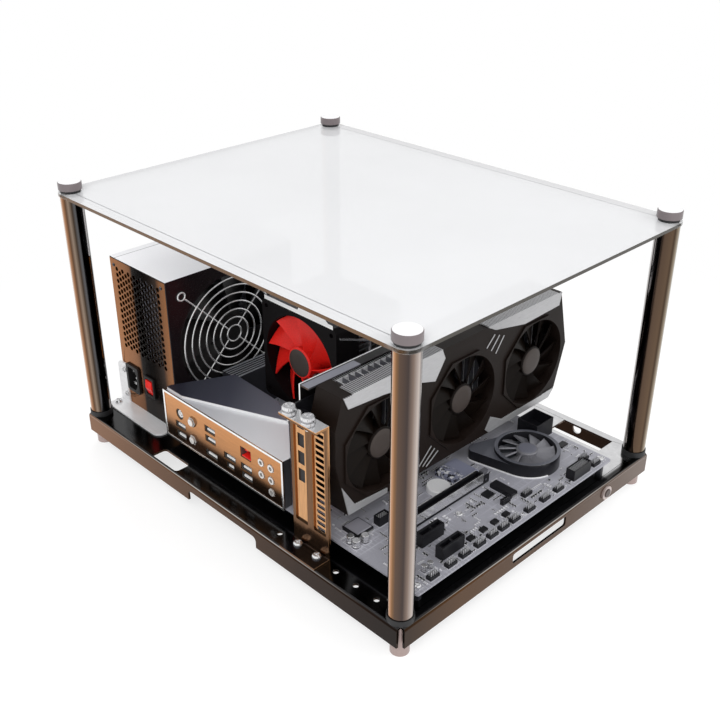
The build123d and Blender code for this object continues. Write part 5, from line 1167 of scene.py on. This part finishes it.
# Bent wall with a flange that closes the card's far end behind its shroud, as far as the fins
WALL_T = 1.5 * MM
WALL_D = 7.9 * MM
WALL_FRONT = 3.0 * MM
WALL_BEND = ((0.955, 0.1), (0.99, 0.48), (0.942, 0.96))
FLANGE_GAP = 1.0 * MM
shroud_low, shroud_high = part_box("gpu_shroud")
size = shroud_high - shroud_low
wall_y = back_low.y - WALL_FRONT
flange_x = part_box("gpu_heatsink")[1].x + FLANGE_GAP
rows = []
for share_x, share_z in WALL_BEND:
    x = shroud_low.x + share_x * size.x
    section = (
        (flange_x, wall_y),
        (x, wall_y),
        (x, wall_y + WALL_D),
        (x - WALL_T, wall_y + WALL_D),
        (x - WALL_T, wall_y + WALL_T),
        (flange_x, wall_y + WALL_T),
    )
    rows.append([(*corner, shroud_low.z + share_z * size.z) for corner in section])
end_wall = bmesh.new()
skin(end_wall, rows)
piece("card_end_wall", end_wall, [shroud_mat])

# Floor that takes the shadow near the bench and turns white further out
WHITE = (1, 1, 1, 1)
FLOOR_HALF = 6
FLOOR_GREY = (0.36, 0.36, 0.36, 1)
FLOOR_GLOW = 0.70
SHADOW_SPAN = (0.30, 0.62)
floor_mat = bpy.data.materials.new("floor_pale")
floor_mat.use_nodes = True
tree = floor_mat.node_tree
shader = tree.nodes["Principled BSDF"]
shader.inputs["Base Color"].default_value = FLOOR_GREY
shader.inputs["Roughness"].default_value = 0.9
shader.inputs["Emission Color"].default_value = WHITE
shader.inputs["Emission Strength"].default_value = FLOOR_GLOW
white = tree.nodes.new("ShaderNodeEmission")
white.inputs["Color"].default_value = WHITE
distance = vector_math(tree, "LENGTH", location(tree)).outputs["Value"]
fade = spread(tree, distance, *SHADOW_SPAN)
fade.node.interpolation_type = "SMOOTHSTEP"
blend = tree.nodes.new("ShaderNodeMixShader")
tree.links.new(fade, blend.inputs["Fac"])
tree.links.new(shader.outputs["BSDF"], blend.inputs[1])
tree.links.new(white.outputs["Emission"], blend.inputs[2])
tree.links.new(blend.outputs["Shader"], tree.nodes["Material Output"].inputs["Surface"])
corners = [(FLOOR_HALF * x, FLOOR_HALF * y, 0) for x, y in ((-1, -1), (1, -1), (1, 1), (-1, 1))]
floor_mesh = bpy.data.meshes.new("floor")
floor_mesh.from_pydata(corners, [], [(0, 1, 2, 3)])
floor_mesh.materials.append(floor_mat)
floor = bpy.data.objects.new("floor", floor_mesh)
scene.collection.objects.link(floor)

# World that lights at a plain level and is seen as white, also in metal and through the plate
WORLD_LIGHT = 0.55
world = bpy.data.worlds.new("studio")
world.use_nodes = True
tree = world.node_tree
light = tree.nodes["Background"]
light.inputs["Color"].default_value = WHITE
light.inputs["Strength"].default_value = WORLD_LIGHT
backdrop = tree.nodes.new("ShaderNodeBackground")
backdrop.inputs["Color"].default_value = WHITE
backdrop.inputs["Strength"].default_value = 1.0
path = tree.nodes.new("ShaderNodeLightPath").outputs
seen = path["Is Camera Ray"]
for ray in ("Is Transmission Ray", "Is Glossy Ray"):
    seen = number_math(tree, "MAXIMUM", seen, path[ray])
pick = tree.nodes.new("ShaderNodeMixShader")
tree.links.new(seen, pick.inputs["Fac"])
tree.links.new(light.outputs["Background"], pick.inputs[1])
tree.links.new(backdrop.outputs["Background"], pick.inputs[2])
tree.links.new(pick.outputs["Shader"], tree.nodes["World Output"].inputs["Surface"])
scene.world = world

# Soft square lamps, each with its place, power and size
LAMP_AIM = Vector((0, 0, 0.1))
for name, at, power, size in (
    ("key", (-1.3, -0.9, 1.6), 22, 1.2),
    ("fill", (0.6, -1.7, 1.0), 12, 1.4),
    ("back", (0.8, 1.4, 1.7), 14, 1.2),
):
    data = bpy.data.lights.new(name, "AREA")
    data.energy = power
    data.size = size
    lamp = bpy.data.objects.new(name, data)
    lamp.location = at
    lamp.rotation_euler = (LAMP_AIM - Vector(at)).to_track_quat("-Z", "Y").to_euler()
    lamp.visible_glossy = False
    scene.collection.objects.link(lamp)

# Camera at the photograph's place; it looks down by its tilt, towards its heading from X
CAMERA_AT = (-0.540557, -0.551863, 0.520179)
CAMERA_TILT = 28.287
CAMERA_HEADING = 45.582
CAMERA_LENS = 49.86
cam_data = bpy.data.cameras.new("camera")
cam_data.sensor_width = 36
cam_data.lens = CAMERA_LENS
cam_data.clip_end = 50
cam = bpy.data.objects.new("camera", cam_data)
cam.location = CAMERA_AT
cam.rotation_euler = (math.radians(90 - CAMERA_TILT), 0, math.radians(CAMERA_HEADING - 90))
scene.collection.objects.link(cam)
scene.camera = cam

scene.view_settings.view_transform = "Standard"
